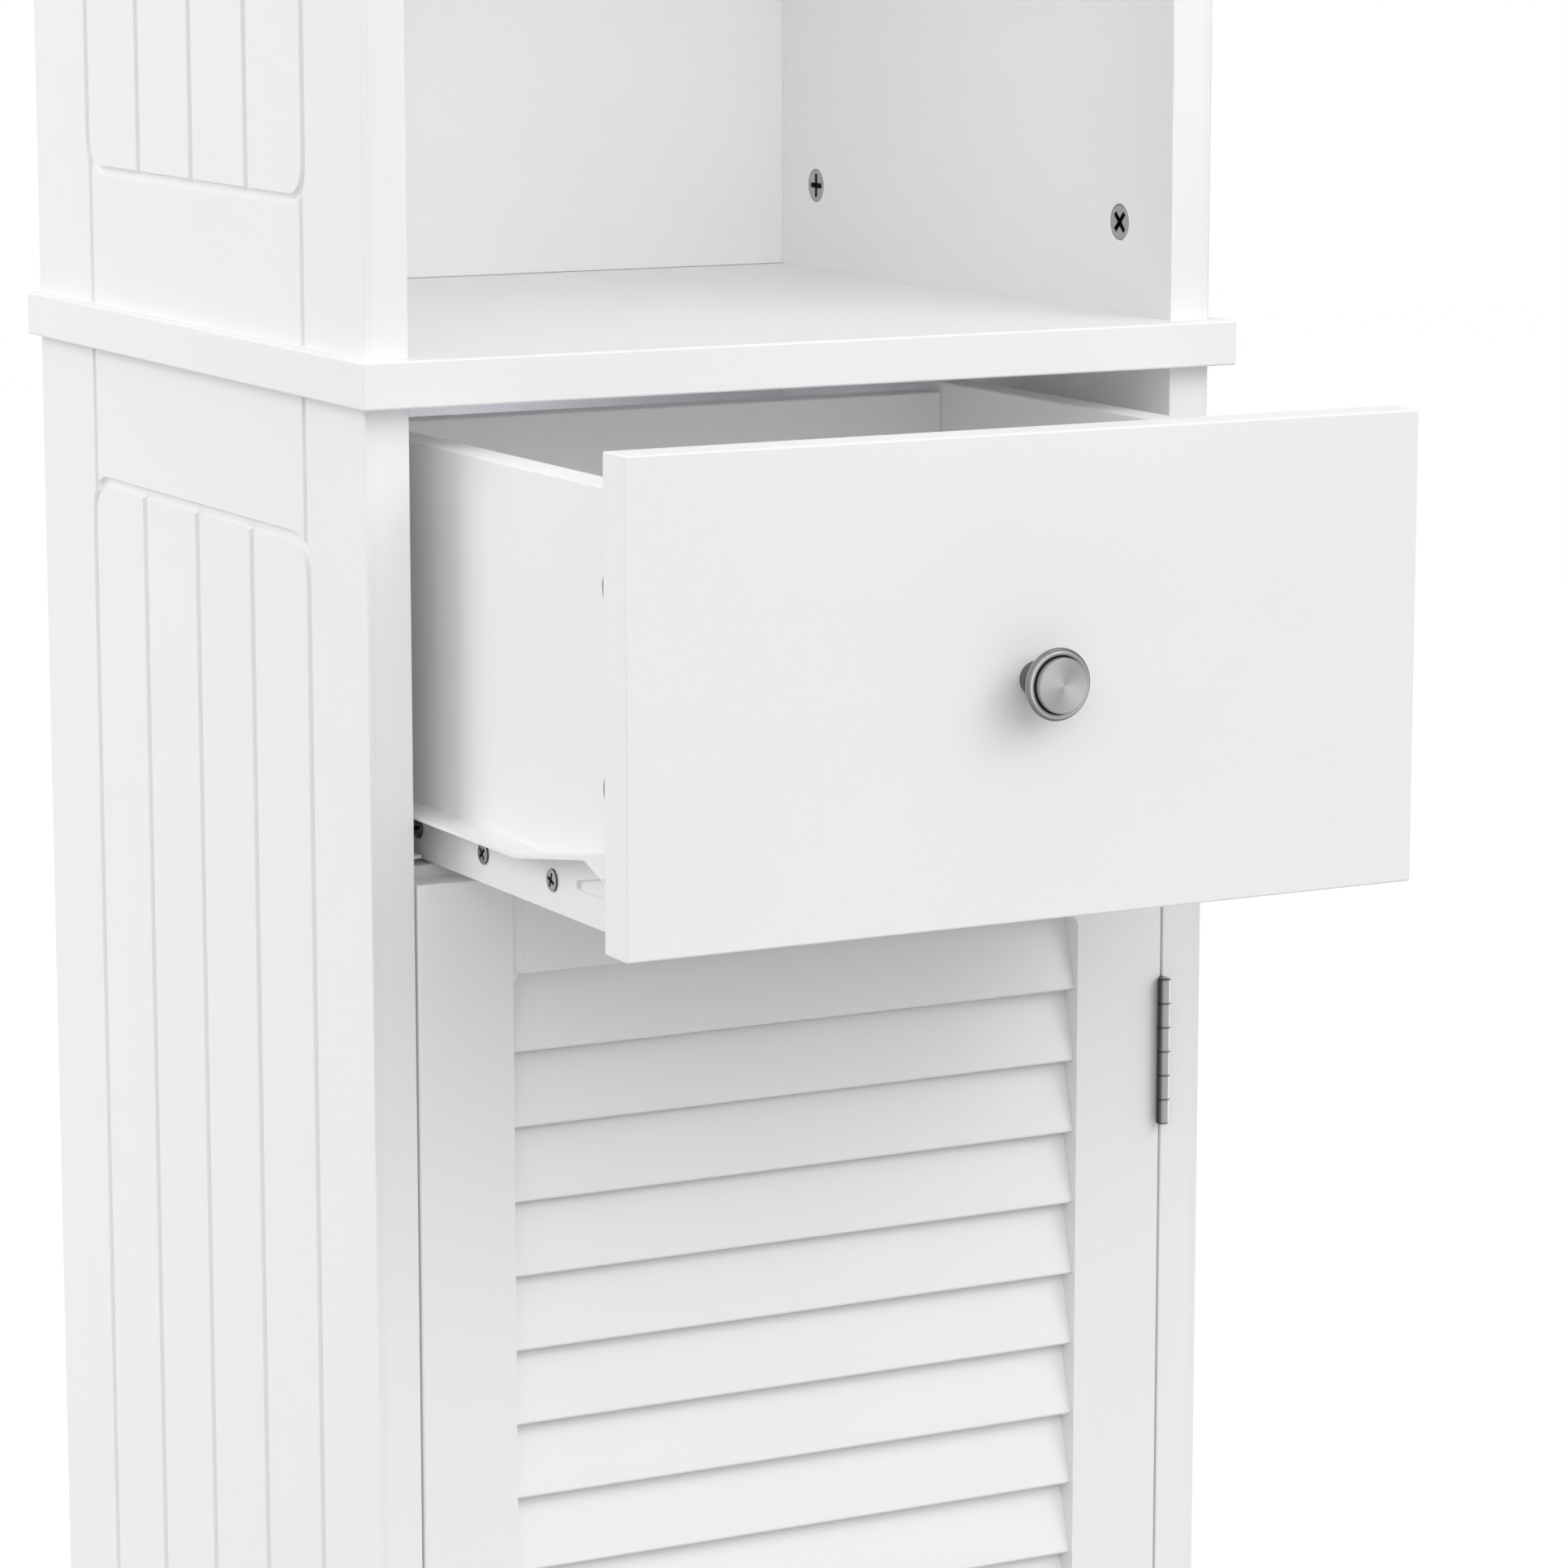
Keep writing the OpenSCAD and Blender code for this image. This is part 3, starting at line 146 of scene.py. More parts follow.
class Graph:
    """The node tree of one material or of the world."""

    def __init__(self, name: str, world: bpy.types.World | None = None) -> None:
        """Makes the material, or takes the world, and clears its tree.

        Args:
            name: The material's name.
            world: The world that the tree belongs to instead.
        """
        self.material = world or bpy.data.materials.new(name)
        self.material.use_nodes = True
        self.tree = self.material.node_tree
        self.tree.nodes.clear()

    def node(
        self,
        kind: str,
        settings: Mapping[str, Any] | None = None,
        inputs: Mapping[Union[str, int], Value] | None = None,
        out: Union[str, int] = 0,
    ) -> Sock:
        """Adds a node of any type.

        Args:
            kind: The node's type name.
            settings: Its properties; "stops" holds a ramp's positions and greys.
            inputs: Values or links of its sockets.
            out: The output that is wanted.

        Returns:
            That output.
        """
        made = self.tree.nodes.new(kind)
        for key, value in (settings or {}).items():
            if key == "stops":
                ramp = made.color_ramp
                while len(ramp.elements) < len(value):
                    ramp.elements.new(1.0)
                for element, (position, grey) in zip(ramp.elements, value):
                    element.position = position
                    element.color = (grey, grey, grey, 1.0)
            else:
                setattr(made, key, value)
        for key, value in (inputs or {}).items():
            if isinstance(value, Sock):
                self.tree.links.new(value.link, made.inputs[key])
            else:
                made.inputs[key].default_value = value
        return Sock(self, made.outputs[out])

    def place(self) -> Sock:
        """Object coordinates of the shaded point, in metres."""
        return self.node("ShaderNodeTexCoord", out="Object")

    def axis(self, vector: Sock, name: str) -> Sock:
        """One coordinate of a vector."""
        return self.node("ShaderNodeSeparateXYZ", {}, {0: vector}, out=name)

    def noise(self, vector: Sock, size_mm: float, detail: float = 2.0, rough: float = 0.5) -> Sock:
        """Noise between 0 and 1 whose blobs have a given size.

        Args:
            vector: Where it is read.
            size_mm: Size of a blob.
            detail: Octaves.
            rough: Strength of the finer octaves.

        Returns:
            The noise value.
        """
        return self.node(
            "ShaderNodeTexNoise",
            {"noise_dimensions": "3D"},
            {"Vector": vector, "Scale": TO_MM / size_mm, "Detail": detail, "Roughness": rough},
        )

    def stretched(self, vector: Sock, scale: Sequence[float]) -> Sock:
        """A vector with each coordinate multiplied."""
        return self.node("ShaderNodeMapping", {}, {"Vector": vector, "Scale": tuple(scale)})

    def ramp(self, factor: Sock, stops: Pairs) -> Sock:
        """A grey read between stops of position and grey."""
        return self.node("ShaderNodeValToRGB", {"stops": stops}, {0: factor})

    def mix(self, factor: Value, first: Value, second: Value) -> Sock:
        """Mix of two colours by a factor."""
        inputs = {0: factor, 6: first, 7: second}
        return self.node("ShaderNodeMix", {"data_type": "RGBA"}, inputs, out=2)

    def bump(self, height: Sock, depth_mm: float) -> Sock:
        """Normal bent by a height map, of which 1 stands depth_mm high."""
        return self.node("ShaderNodeBump", {}, {"Height": height, "Distance": depth_mm * MM})

    def end(self, kind: str, shader: Sock) -> None:
        """Leads a shader to a new output node of the given type."""
        self.tree.links.new(shader.link, self.tree.nodes.new(kind).inputs["Surface"])


def opaque(colour: Colour) -> tuple[float, float, float, float]:
    """A colour with full alpha."""
    return (*colour, 1.0)


def shade(colour: Colour, factor: float) -> Colour:
    """A colour made darker or lighter by a factor."""
    return tuple(min(1.0, c * factor) for c in colour)


# ---------------------------------------------------------------- finishes
class Finish:
    """A surface finish, which says what the Principled shader gets."""

    def sockets(self, g: Graph, p: Sock) -> dict[str, Value]:
        """Works out the shader's values.

        Args:
            g: The material's graph.
            p: Object coordinates of the shaded point.

        Returns:
            The values by the name of their socket.
        """
        raise NotImplementedError

    def material(self, name: str) -> bpy.types.Material:
        """Makes the material of this finish.

        Args:
            name: Its name.

        Returns:
            The material.
        """
        g = Graph(name)
        inputs = self.sockets(g, g.place())
        g.end("ShaderNodeOutputMaterial", g.node("ShaderNodeBsdfPrincipled", {}, inputs))
        return g.material


@dataclass(frozen=True)
class SatinPaint(Finish):
    """Sprayed satin paint on fine board: faint mottling, a fine grain and a soft orange peel.

    With groove_at_mm, the distance of the outer faces from X = 0, the grooves in them get a little
    painted shade.
    """

    tone: Colour = (0.896, 0.896, 0.896)
    darkest: float = 0.975
    lightest: float = 1.012
    gloss_rough: float = 0.42
    mottle_mm: float = 60.0
    mottle_share: float = 0.7
    mottle_rough: float = 0.1
    grain_mm: float = 0.55
    grain_depth: float = 0.012
    grain_rough: float = 0.12
    peel_mm: float = 3.5
    peel_depth: float = 0.02
    specular: float = 0.4
    groove_at_mm: float = 0.0
    groove_painted_shade: float = 0.97
    groove_rise: float = 0.9
    groove_end: float = 3.2

    def sockets(self, g: Graph, p: Sock) -> dict[str, Value]:
        """Mottled tone, uneven gloss and the skin of sprayed paint.

        Args:
            g: The material's graph.
            p: Object coordinates of the shaded point.

        Returns:
            The values by the name of their socket.
        """
        grain = g.noise(p, self.grain_mm, detail=3.0, rough=0.6)
        peel = g.noise(p, self.peel_mm, detail=1.0)
        mottle = g.noise(p, self.mottle_mm, detail=3.0)
        speck = (mottle * self.mottle_share + grain * (1.0 - self.mottle_share)).clamped()
        dark, light = shade(self.tone, self.darkest), shade(self.tone, self.lightest)
        base = g.mix(speck, opaque(dark), opaque(light))
        if self.groove_at_mm > 0.0:
            # Painted shade: the grooves below the outer face are greyed a little, where shade falls
            # in them
            depth = (self.groove_at_mm * MM - abs(g.axis(p, "X"))) * (self.groove_rise * TO_MM)
            inside = depth.clamped() * (self.groove_end - depth).clamped()
            base = g.mix(inside, base, opaque(shade(self.tone, self.groove_painted_shade)))
        rough = self.gloss_rough + (mottle - 0.5) * self.mottle_rough
        height = grain * (self.grain_depth / self.peel_depth) + peel
        return {
            "Base Color": base,
            "Roughness": rough + (grain - 0.5) * self.grain_rough,
            "Normal": g.bump(height, self.peel_depth),
            "Specular IOR Level": self.specular,
        }


@dataclass(frozen=True)
class EpoxySteel(Finish):
    """Powder-coated sheet steel: a little glossier than paint, with a soft pebbled skin."""

    tone: Colour = (0.87, 0.87, 0.875)
    darkest: float = 0.97
    gloss_rough: float = 0.38
    pebble_mm: float = 1.4
    pebble_depth: float = 0.006
    broad_mm: float = 22.0
    broad_rough: float = 0.12

    def sockets(self, g: Graph, p: Sock) -> dict[str, Value]:
        """Tone and gloss that drift over the sheet, and fine pebbles.

        Args:
            g: The material's graph.
            p: Object coordinates of the shaded point.

        Returns:
            The values by the name of their socket.
        """
        pebble = g.noise(p, self.pebble_mm, rough=0.4)
        broad = g.noise(p, self.broad_mm)
        return {
            "Base Color": g.mix(broad, opaque(shade(self.tone, self.darkest)), opaque(self.tone)),
            "Roughness": self.gloss_rough + (broad - 0.5) * self.broad_rough,
            "Normal": g.bump(pebble, self.pebble_depth),
        }


class Brushing(Enum):
    """How a metal surface was worked: how closely its marks follow each other along X, Y and Z."""

    ALONG_Z = (60.0, 60.0, 1.0)
    NONE = (1.0, 1.0, 1.0)


@dataclass(frozen=True)
class SatinMetal(Finish):
    """Plated metal with brush marks or a fine matt grain, with painted shade in its recesses."""

    tone: Colour = (0.45, 0.45, 0.445)
    darkest: float = 0.82
    lightest: float = 1.14
    gloss_rough: float = 0.34
    brushing: Brushing = Brushing.NONE
    mark_mm: float = 3.0
    mark_depth: float = 0.006
    mark_rough: float = 0.22
    stain_mm: float = 7.0
    recess_rough: float = 0.3

    def shading(self, g: Graph, p: Sock) -> Sock | None:
        """A factor on the tone, for painted light and dark joints, that a finish may add, or none.
        """
        return None

    def sockets(self, g: Graph, p: Sock) -> dict[str, Value]:
        """Stained and marked metal, with painted shade, dark and dull, where the piece's recess
        attribute is 1.

        Args:
            g: The material's graph.
            p: Object coordinates of the shaded point.

        Returns:
            The values by the name of their socket.
        """
        drawn_out = g.stretched(p, self.brushing.value)
        marks = g.noise(drawn_out, self.mark_mm, detail=4.0, rough=0.65)
        stain = g.noise(p, self.stain_mm, detail=3.0)
        wear = (stain * 0.5 + marks * 0.5).clamped()
        dark, light = shade(self.tone, self.darkest), shade(self.tone, self.lightest)
        base = g.mix(wear, opaque(dark), opaque(light))
        # Painted light of the finish, if any: mixed towards black where its factor is low
        factor = self.shading(g, p)
        if factor is not None:
            base = g.mix(factor, opaque(SHADE_AND_JOINT_BLACK), base)
        # Painted shade: the recess attribute darkens cross recesses and the rims of heads
        recess = g.node("ShaderNodeAttribute", {"attribute_name": "recess"}, out="Fac")
        rough = self.gloss_rough + (marks - 0.5) * self.mark_rough
        return {
            "Base Color": g.mix(recess, base, opaque(SHADE_AND_JOINT_BLACK)),
            "Metallic": 1.0,
            "Roughness": rough + recess * self.recess_rough,
            "Normal": g.bump(marks, self.mark_depth),
        }


@dataclass(frozen=True)
class KnuckleNickel(SatinMetal):
    """Brushed nickel of rolled hinge knuckles.

    It gets painted shade towards the leaf and a painted highlight on the outer side, and it is
    dark at the joints. The pairs of painted_light_across are a place across the knuckle, from 0 to
    1 along X, and the grey there.
    """

    tone: Colour = (0.97, 0.97, 0.965)
    brushing: Brushing = Brushing.ALONG_Z
    axis_x: float = HINGE_X
    radius: float = 2.3
    starts: tuple[float, ...] = HINGE_STARTS
    lead: float = 5.0
    pitch: float = 8.433
    joint: float = 0.55
    joint_shade: float = 0.25
    # Painted shade towards the leaf and a painted highlight near the outer side, by the place
    # across
    painted_light_across: Pairs = (
        *((0.0, 0.037), (0.05, 0.062), (0.1, 0.08), (0.142, 0.19), (0.2, 0.33), (0.35, 0.4)),
        *((0.58, 0.42), (0.67, 0.8), (0.75, 1.0), (0.86, 0.9), (0.95, 0.45), (1.0, 0.3)),
    )

    def shading(self, g: Graph, p: Sock) -> Sock:
        """The painted shade and highlight across a knuckle, and the dark line at each joint.

        The painted light is read from the distance to the axis along X. A joint lies at each whole
        number of pitches above the start of the hinge that the point belongs to, where points count
        to a hinge from a little lead below its start.

        Args:
            g: The material's graph.
            p: Object coordinates of the shaded point.

        Returns:
            The factor on the tone.
        """
        # Painted shade and highlight across the knuckle, read from the distance to the axis
        across = (g.axis(p, "X") - self.axis_x * MM) / (2.0 * self.radius * MM) + 0.5
        painted_light_across = g.ramp(across.clamped(), self.painted_light_across)
        z = g.axis(p, "Z") * TO_MM
        start: Value = self.starts[0]
        for low, high in zip(self.starts, self.starts[1:]):
            above = {0: z, 1: high - self.lead}
            passed = g.node("ShaderNodeMath", {"operation": "GREATER_THAN"}, above)
            start = passed * (high - low) + start
        turns = (z - start) / self.pitch + 0.5
        away = abs(g.node("ShaderNodeMath", {"operation": "FRACT"}, {0: turns}) - 0.5) * self.pitch
        open_share = (away / self.joint).clamped()
        return painted_light_across * (self.joint_shade + (1.0 - self.joint_shade) * open_share)


@dataclass(frozen=True)
class TurnedNickel(Finish):
    """Satin nickel turned on a lathe: fine rings about the knob's axis, and a painted sheen that
    fans out.

    The step and the gap round the disc get painted shade, and the edge between them a painted
    highlight. The zones give the grey at a distance from the axis, tone and this painted light
    together. The neck gets painted shade below neck_top.
    """

    axis_x: float
    face_y: float
    axis_z: float
    tone: Colour = (1.0, 1.0, 0.99)
    gloss_rough: float = 0.3
    ring_mm: float = 0.35
    ring_depth: float = 0.004
    ring_rough: float = 0.16
    ring_share: float = 0.14
    stain_mm: float = 5.0
    stain_share: float = 0.06
    plain_share: float = 0.9
    painted_fan_turn: float = -30.0
    painted_fan_share: float = 0.2
    reach: float = 12.0
    neck_top: float = 9.0
    neck_rise: float = 0.4
    neck_shade: float = 0.3
    gap_r: float = 8.75
    gap_wide: float = 1.6
    gap_fall: float = 4.0
    gap_top: float = 15.6
    gap_rise: float = 1.6
    gap_dark: float = 0.8
    # Grey by distance from the axis in mm: the disc's tone, painted shade in the chamfer and the
    # gaps, and a painted highlight on the rim's edge
    tone_and_light_zones: Pairs = (
        *((0.0, 0.44), (8.2, 0.42), (8.45, 0.27), (9.0, 0.32), (9.85, 0.36)),
        *((10.15, 0.66), (10.4, 0.3), (10.9, 0.13), (11.2, 0.3)),
    )

    def sockets(self, g: Graph, p: Sock) -> dict[str, Value]:
        """Rings and zones of tone and painted light by the distance from the axis, and painted
        shade by the height above the board.

        The painted sheen is the cosine of twice the angle from the fan's direction, 2 s^2 - 1,
        where s is the share of the way from the axis that points along that direction.

        Args:
            g: The material's graph.
            p: Object coordinates of the shaded point.

        Returns:
            The values by the name of their socket.
        """
        dx = g.axis(p, "X") - self.axis_x * MM
        dz = g.axis(p, "Z") - self.axis_z * MM
        radius = (dx * dx + dz * dz) ** 0.5
        height = (self.face_y * MM - g.axis(p, "Y")) * TO_MM
        ring_place = g.node("ShaderNodeCombineXYZ", {}, {"X": radius, "Y": height * MM})
        rings = g.noise(ring_place, self.ring_mm, detail=3.0, rough=0.7)
        stain = g.noise(p, self.stain_mm)
        turn = math.radians(self.painted_fan_turn)
        # The small addend keeps the quotient finite on the axis itself
        side = (dx * math.cos(turn) + dz * math.sin(turn)) / (radius + 1e-5)
        # Painted sheen: a turned face's fanned highlight, fixed in the colour
        painted_fan = side * side * 2.0 - 1.0
        stops = tuple((r / self.reach, grey) for r, grey in self.tone_and_light_zones)
        zone = g.ramp(radius * (TO_MM / self.reach), stops)
        # Painted shade on the neck, below the head
        above_neck = ((height - self.neck_top) * self.neck_rise).clamped()
        neck = self.neck_shade + above_neck * (1.0 - self.neck_shade)
        # Painted shade in the gap round the disc
        from_gap = abs(radius * TO_MM - self.gap_r)
        near = (self.gap_wide - from_gap * self.gap_fall).clamped()
        gap = near * ((self.gap_top - height) * self.gap_rise).clamped()
        patina = self.plain_share + rings * self.ring_share + stain * self.stain_share
        level = zone * (1.0 + painted_fan * self.painted_fan_share) * patina * neck * (1.0 - gap * self.gap_dark)
        return {
            "Base Color": g.mix(level.clamped(), opaque((0.0, 0.0, 0.0)), opaque(self.tone)),
            "Metallic": 1.0,
            "Roughness": self.gloss_rough + (rings - 0.5) * self.ring_rough,
            "Normal": g.bump(rings, self.ring_depth),
        }


@dataclass(frozen=True)
class MouldedPlastic(Finish):
    """Moulded plastic with a fine spark-eroded skin."""

    tone: Colour = (0.82, 0.82, 0.81)
    gloss_rough: float = 0.38
    darkest: float = 0.95
    skin_mm: float = 0.4
    skin_depth: float = 0.01
    skin_rough: float = 0.15
    flow_mm: float = 12.0

    def sockets(self, g: Graph, p: Sock) -> dict[str, Value]:
        """Faint flow marks in the tone, and the mould's skin in gloss and height.

        Args:
            g: The material's graph.
            p: Object coordinates of the shaded point.

        Returns:
            The values by the name of their socket.
        """
        skin = g.noise(p, self.skin_mm)
        flow = g.noise(p, self.flow_mm)
        return {
            "Base Color": g.mix(flow, opaque(shade(self.tone, self.darkest)), opaque(self.tone)),
            "Roughness": self.gloss_rough + (skin - 0.5) * self.skin_rough,
            "Normal": g.bump(skin, self.skin_depth),
        }


@dataclass(frozen=True)
class PlainBeech(Finish):
    """Beech dowel: long pale grain with short darker flecks."""

    tone: Colour = (0.66, 0.46, 0.27)
    darkest: float = 0.75
    dull: float = 0.6
    along_x: tuple[float, float, float] = (1.0, 6.0, 6.0)
    fleck_mm: float = 4.0
    fleck_depth: float = 0.05
    fleck_rough: float = 0.2

    def sockets(self, g: Graph, p: Sock) -> dict[str, Value]:
        """Flecks drawn out along X, in tone, gloss and height.

        Args:
            g: The material's graph.
            p: Object coordinates of the shaded point.

        Returns:
            The values by the name of their socket.
        """
        fleck = g.noise(g.stretched(p, self.along_x), self.fleck_mm, detail=3.0)
        return {
            "Base Color": g.mix(fleck, opaque(shade(self.tone, self.darkest)), opaque(self.tone)),
            "Roughness": self.dull + (fleck - 0.5) * self.fleck_rough,
            "Normal": g.bump(fleck, self.fleck_depth),
        }


def in_finish(finish: Finish, name: str) -> Any:
    """A dataclass field that holds the material of a finish, made with its owner."""
    return field(default_factory=lambda: finish.material(name))


@dataclass
class Finishes:
    """All finishes of the tower, each made once."""

    board: bpy.types.Material = in_finish(SatinPaint(), "satin_paint")
    side: bpy.types.Material = in_finish(SatinPaint(groove_at_mm=155.0), "satin_paint_grooved")
    door: bpy.types.Material = in_finish(SatinPaint((0.896, 0.895, 0.903)), "satin_paint_door")
    inner: bpy.types.Material = in_finish(
        SatinPaint((0.891, 0.891, 0.892), gloss_rough=0.5, grain_mm=0.9, peel_depth=0.012),
        "melamine_face",
    )
    back: bpy.types.Material = in_finish(
        SatinPaint((0.887, 0.887, 0.888), gloss_rough=0.55, grain_mm=1.2, peel_depth=0.03),
        "lacquered_hardboard",
    )
    epoxy: bpy.types.Material = in_finish(EpoxySteel(), "white_epoxy_steel")
    nickel: bpy.types.Material = in_finish(KnuckleNickel(), "brushed_nickel")
    zinc: bpy.types.Material = in_finish(SatinMetal(), "zinc_plate")
    screw: bpy.types.Material = in_finish(SatinMetal((0.3, 0.3, 0.295)), "dull_zinc_plate")
    plastic: bpy.types.Material = in_finish(MouldedPlastic(), "moulded_plastic")
    beech: bpy.types.Material = in_finish(PlainBeech(), "plain_beech")
    cap: bpy.types.Material = in_finish(MouldedPlastic((0.885, 0.885, 0.89), 0.5), "cap_plastic")


# ---------------------------------------------------------------- forms
@dataclass
class Form:
    """Points and faces of a surface, and how much painted shade of a recess each point gets."""

    points: Array
    faces: list[tuple[int, ...]]
    recess: Array = field(default_factory=lambda: np.zeros(0))

    def __post_init__(self) -> None:
        """Sets the painted recess shade to none where it isn't given."""
        if len(self.recess) != len(self.points):
            self.recess = np.zeros(len(self.points))

    def __add__(self, other: "Form") -> "Form":
        """Both surfaces in one.

        Args:
            other: The surface whose points come second.

        Returns:
            The sum.
        """
        n = len(self.points)
        later = [tuple(i + n for i in f) for f in other.faces]
        recess = np.concatenate((self.recess, other.recess))
        return Form(np.vstack((self.points, other.points)), self.faces + later, recess)

    def placed(self, matrix: Matrix) -> "Form":
        """The surface moved and turned to where a matrix puts its origin and axes."""
        m = np.array(matrix)
        return Form(self.points @ m[:3, :3].T + m[:3, 3], self.faces, self.recess)

    def mirrored(self) -> "Form":
        """The surface on the other side of the plane X = 0, with its faces turned back outwards."""
        return Form(self.points * (-1.0, 1.0, 1.0), [f[::-1] for f in self.faces], self.recess)

    def paired(self) -> "Form":
        """The surface together with its mirror image."""
        return self + self.mirrored()


class Facing(Enum):
    """Where a form made towards +Z looks once it is placed: degrees and axis of its turn."""

    RIGHT = (90.0, "Y")
    LEFT = (-90.0, "Y")
    FRONT = (90.0, "X")
    BACK = (-90.0, "X")
    DOWN = (180.0, "X")


def at(x: float, y: float, z: float, facing: Facing) -> Matrix:
    """The matrix that moves a form made at the origin to a point and turns it.

    Args:
        x: Where its origin goes, across.
        y: The same to the back.
        z: The same upwards.
        facing: Where its +Z looks then.

    Returns:
        The matrix.
    """
    degrees, axis = facing.value
    return Matrix.Translation((x, y, z)) @ Matrix.Rotation(math.radians(degrees), 4, axis)


def joined(forms: Iterable[Form]) -> Form:
    """Many surfaces in one.

    Args:
        forms: At least one surface.

    Returns:
        The sum of them all.
    """
    first, *rest = forms
    for other in rest:
        first = first + other
    return first


def lattice(points: Array) -> Form:
    """A surface over a grid of rings: point (i, j) is joined to (i + 1, j) and (i, j + 1).

    Args:
        points: Points in rows and columns. The last column joins the first.

    Returns:
        The surface as four-sided faces.
    """
    rows, columns = points.shape[:2]
    i, j = np.meshgrid(np.arange(rows - 1), np.arange(columns), indexing="ij")
    k = (j + 1) % columns
    here, above = i * columns, (i + 1) * columns
    quads = np.stack((here + j, above + j, above + k, here + k), axis=-1).reshape(-1, 4)
    return Form(points.reshape(-1, 3).astype(float), [tuple(q) for q in quads.tolist()])


def turned_form(profile: Sequence[tuple[float, float]], steps: int = 48) -> Form:
    """A profile of radius and height turned about Z: x = r cos a, y = r sin a, z = h.

    Args:
        profile: Radius and height from the lower pole to the upper one.
        steps: Columns around.

    Returns:
        The closed surface.
    """
    rh = np.array(profile, dtype=float)
    a = np.linspace(0.0, 2.0 * math.pi, steps, endpoint=False)
    r, h = rh[:, :1], rh[:, 1:]
    grid = np.stack((r * np.cos(a), r * np.sin(a), h * np.ones_like(a)), axis=-1)
    return lattice(grid[::-1])


def cross_radius(angle: Array, half_length: float, half_width: float) -> Array:
    """Distance from the centre of a cross to its outline.

    Each bar is a rectangle, which a ray leaves at the nearer of length / |cos a| and
    width / |sin a|. The cross ends where the farther of the two bars does.

    Args:
        angle: Angles of the rays.
        half_length: Half the length of a bar.
        half_width: Half the width of a bar.

    Returns:
        The distances.
    """
    c = np.maximum(np.abs(np.cos(angle)), 1e-9)
    s = np.maximum(np.abs(np.sin(angle)), 1e-9)
    level = np.minimum(half_length / c, half_width / s)
    upright = np.minimum(half_length / s, half_width / c)
    return np.maximum(level, upright)


@dataclass
class CrossHead:
    """A round head with a cross pressed into its face, at z = 0 and below, and a shank under it."""

    radius: float
    height: float
    cross_length: float
    cross_width: float
    cross_depth: float
    dome: float = 0.12
    shank_radius: float = 0.0
    shank_length: float = 0.0
    spin: float = 0.0
    rim_shade: float = 0.7
    soft_share: float = 0.12

    def form(self) -> Form:
        """Builds rings of points: up the shank and the rim, over the dome, down the cross.

        The ring of radius q at height z has the points (q cos a, q sin a, z), where q is one
        length for the shank and the rim, and the outline of the cross inside the face. The rim
        gets a weak painted shade, and the cross recess a full one.

        Returns:
            The closed surface with its face towards +Z.
        """
        long, wide, r = self.cross_length / 2, self.cross_width / 2, self.radius
        corners = [math.atan2(wide, long), math.pi / 4, math.atan2(long, wide)]
        quarter = sorted({0.0, *corners, *np.linspace(0.0, math.pi / 2, 10)[:-1].tolist()})
        a = np.concatenate([np.array(quarter) + q * math.pi / 2 for q in range(4)])
        one = np.ones_like(a)
        edge = cross_radius(a, long, wide)
        soft = self.soft_share * self.cross_width
        foot = -self.height - self.shank_length
        shank = [(one * 0.0, foot)]
        if self.shank_radius > 0.0:
            shank += [(one * self.shank_radius, foot), (one * self.shank_radius, -self.height)]
        rim = [
            (one * r, -self.height),
            (one * r, -self.dome - soft),
            (one * (r - 0.25 * soft), -self.dome - 0.4 * soft),
        ]
        face = [
            (one * (r - soft), -self.dome),
            (one * (r * 0.85), -self.dome * 0.45),
            (edge + 2.0 * soft, -self.dome * 0.08),
            (edge + soft, 0.0),
        ]
        cross = [
            (edge, -soft),
            (edge * 0.9, -self.cross_depth),
            (one * 0.0, -self.cross_depth - soft),
        ]
        turn = a + self.spin
        cos, sin = np.cos(turn), np.sin(turn)
        rows = shank + rim + face + cross
        grid = np.stack([np.stack((q * cos, q * sin, one * z), axis=-1) for q, z in rows])
        form = lattice(grid[::-1])
        counts = [len(part) for part in (shank, rim, face, cross)]
        # Painted shade by rows: a weak dark outline on the rim and a full dark cross recess
        deep = np.repeat((0.0, self.rim_shade, 0.0, 1.0), counts)
        form.recess = np.repeat(deep[::-1], len(a))
        return form


def rounded_outline(width: float, height: float, radius: float, steps: int) -> Array:
    """Outline of a rectangle with round corners and its lower left corner at 0, anticlockwise.

    Args:
        width: Along the first axis.
        height: Along the second axis.
        radius: Of the corners.
        steps: Points on each corner.

    Returns:
        The outline's points: each corner's centre + radius (cos a, sin a) over a quarter turn.
    """
    left, right, low, high = radius, width - radius, radius, height - radius
    arc = np.linspace(0.0, math.pi / 2, steps)
    corners = []
    for k, (x, y) in enumerate(((right, high), (left, high), (left, low), (right, low))):
        a = arc + k * math.pi / 2
        corners.append(np.column_stack((x + radius * np.cos(a), y + radius * np.sin(a))))
    return np.vstack(corners)


def bar_form(outline: Array, start: float, stop: float) -> Form:
    """An outline in Y and Z carried along X from start to stop, closed by its two ends.

    Args:
        outline: The outline's points, anticlockwise seen from +X.
        start: Lower X.
        stop: Higher X.

    Returns:
        The closed surface.
    """
    n = len(outline)
    rows = [np.column_stack((np.full(n, x), outline)) for x in (start, stop)]
    form = lattice(np.stack(rows)[::-1])
    form.faces.append(tuple(range(n)))
    form.faces.append(tuple(range(2 * n - 1, n - 1, -1)))
    return form


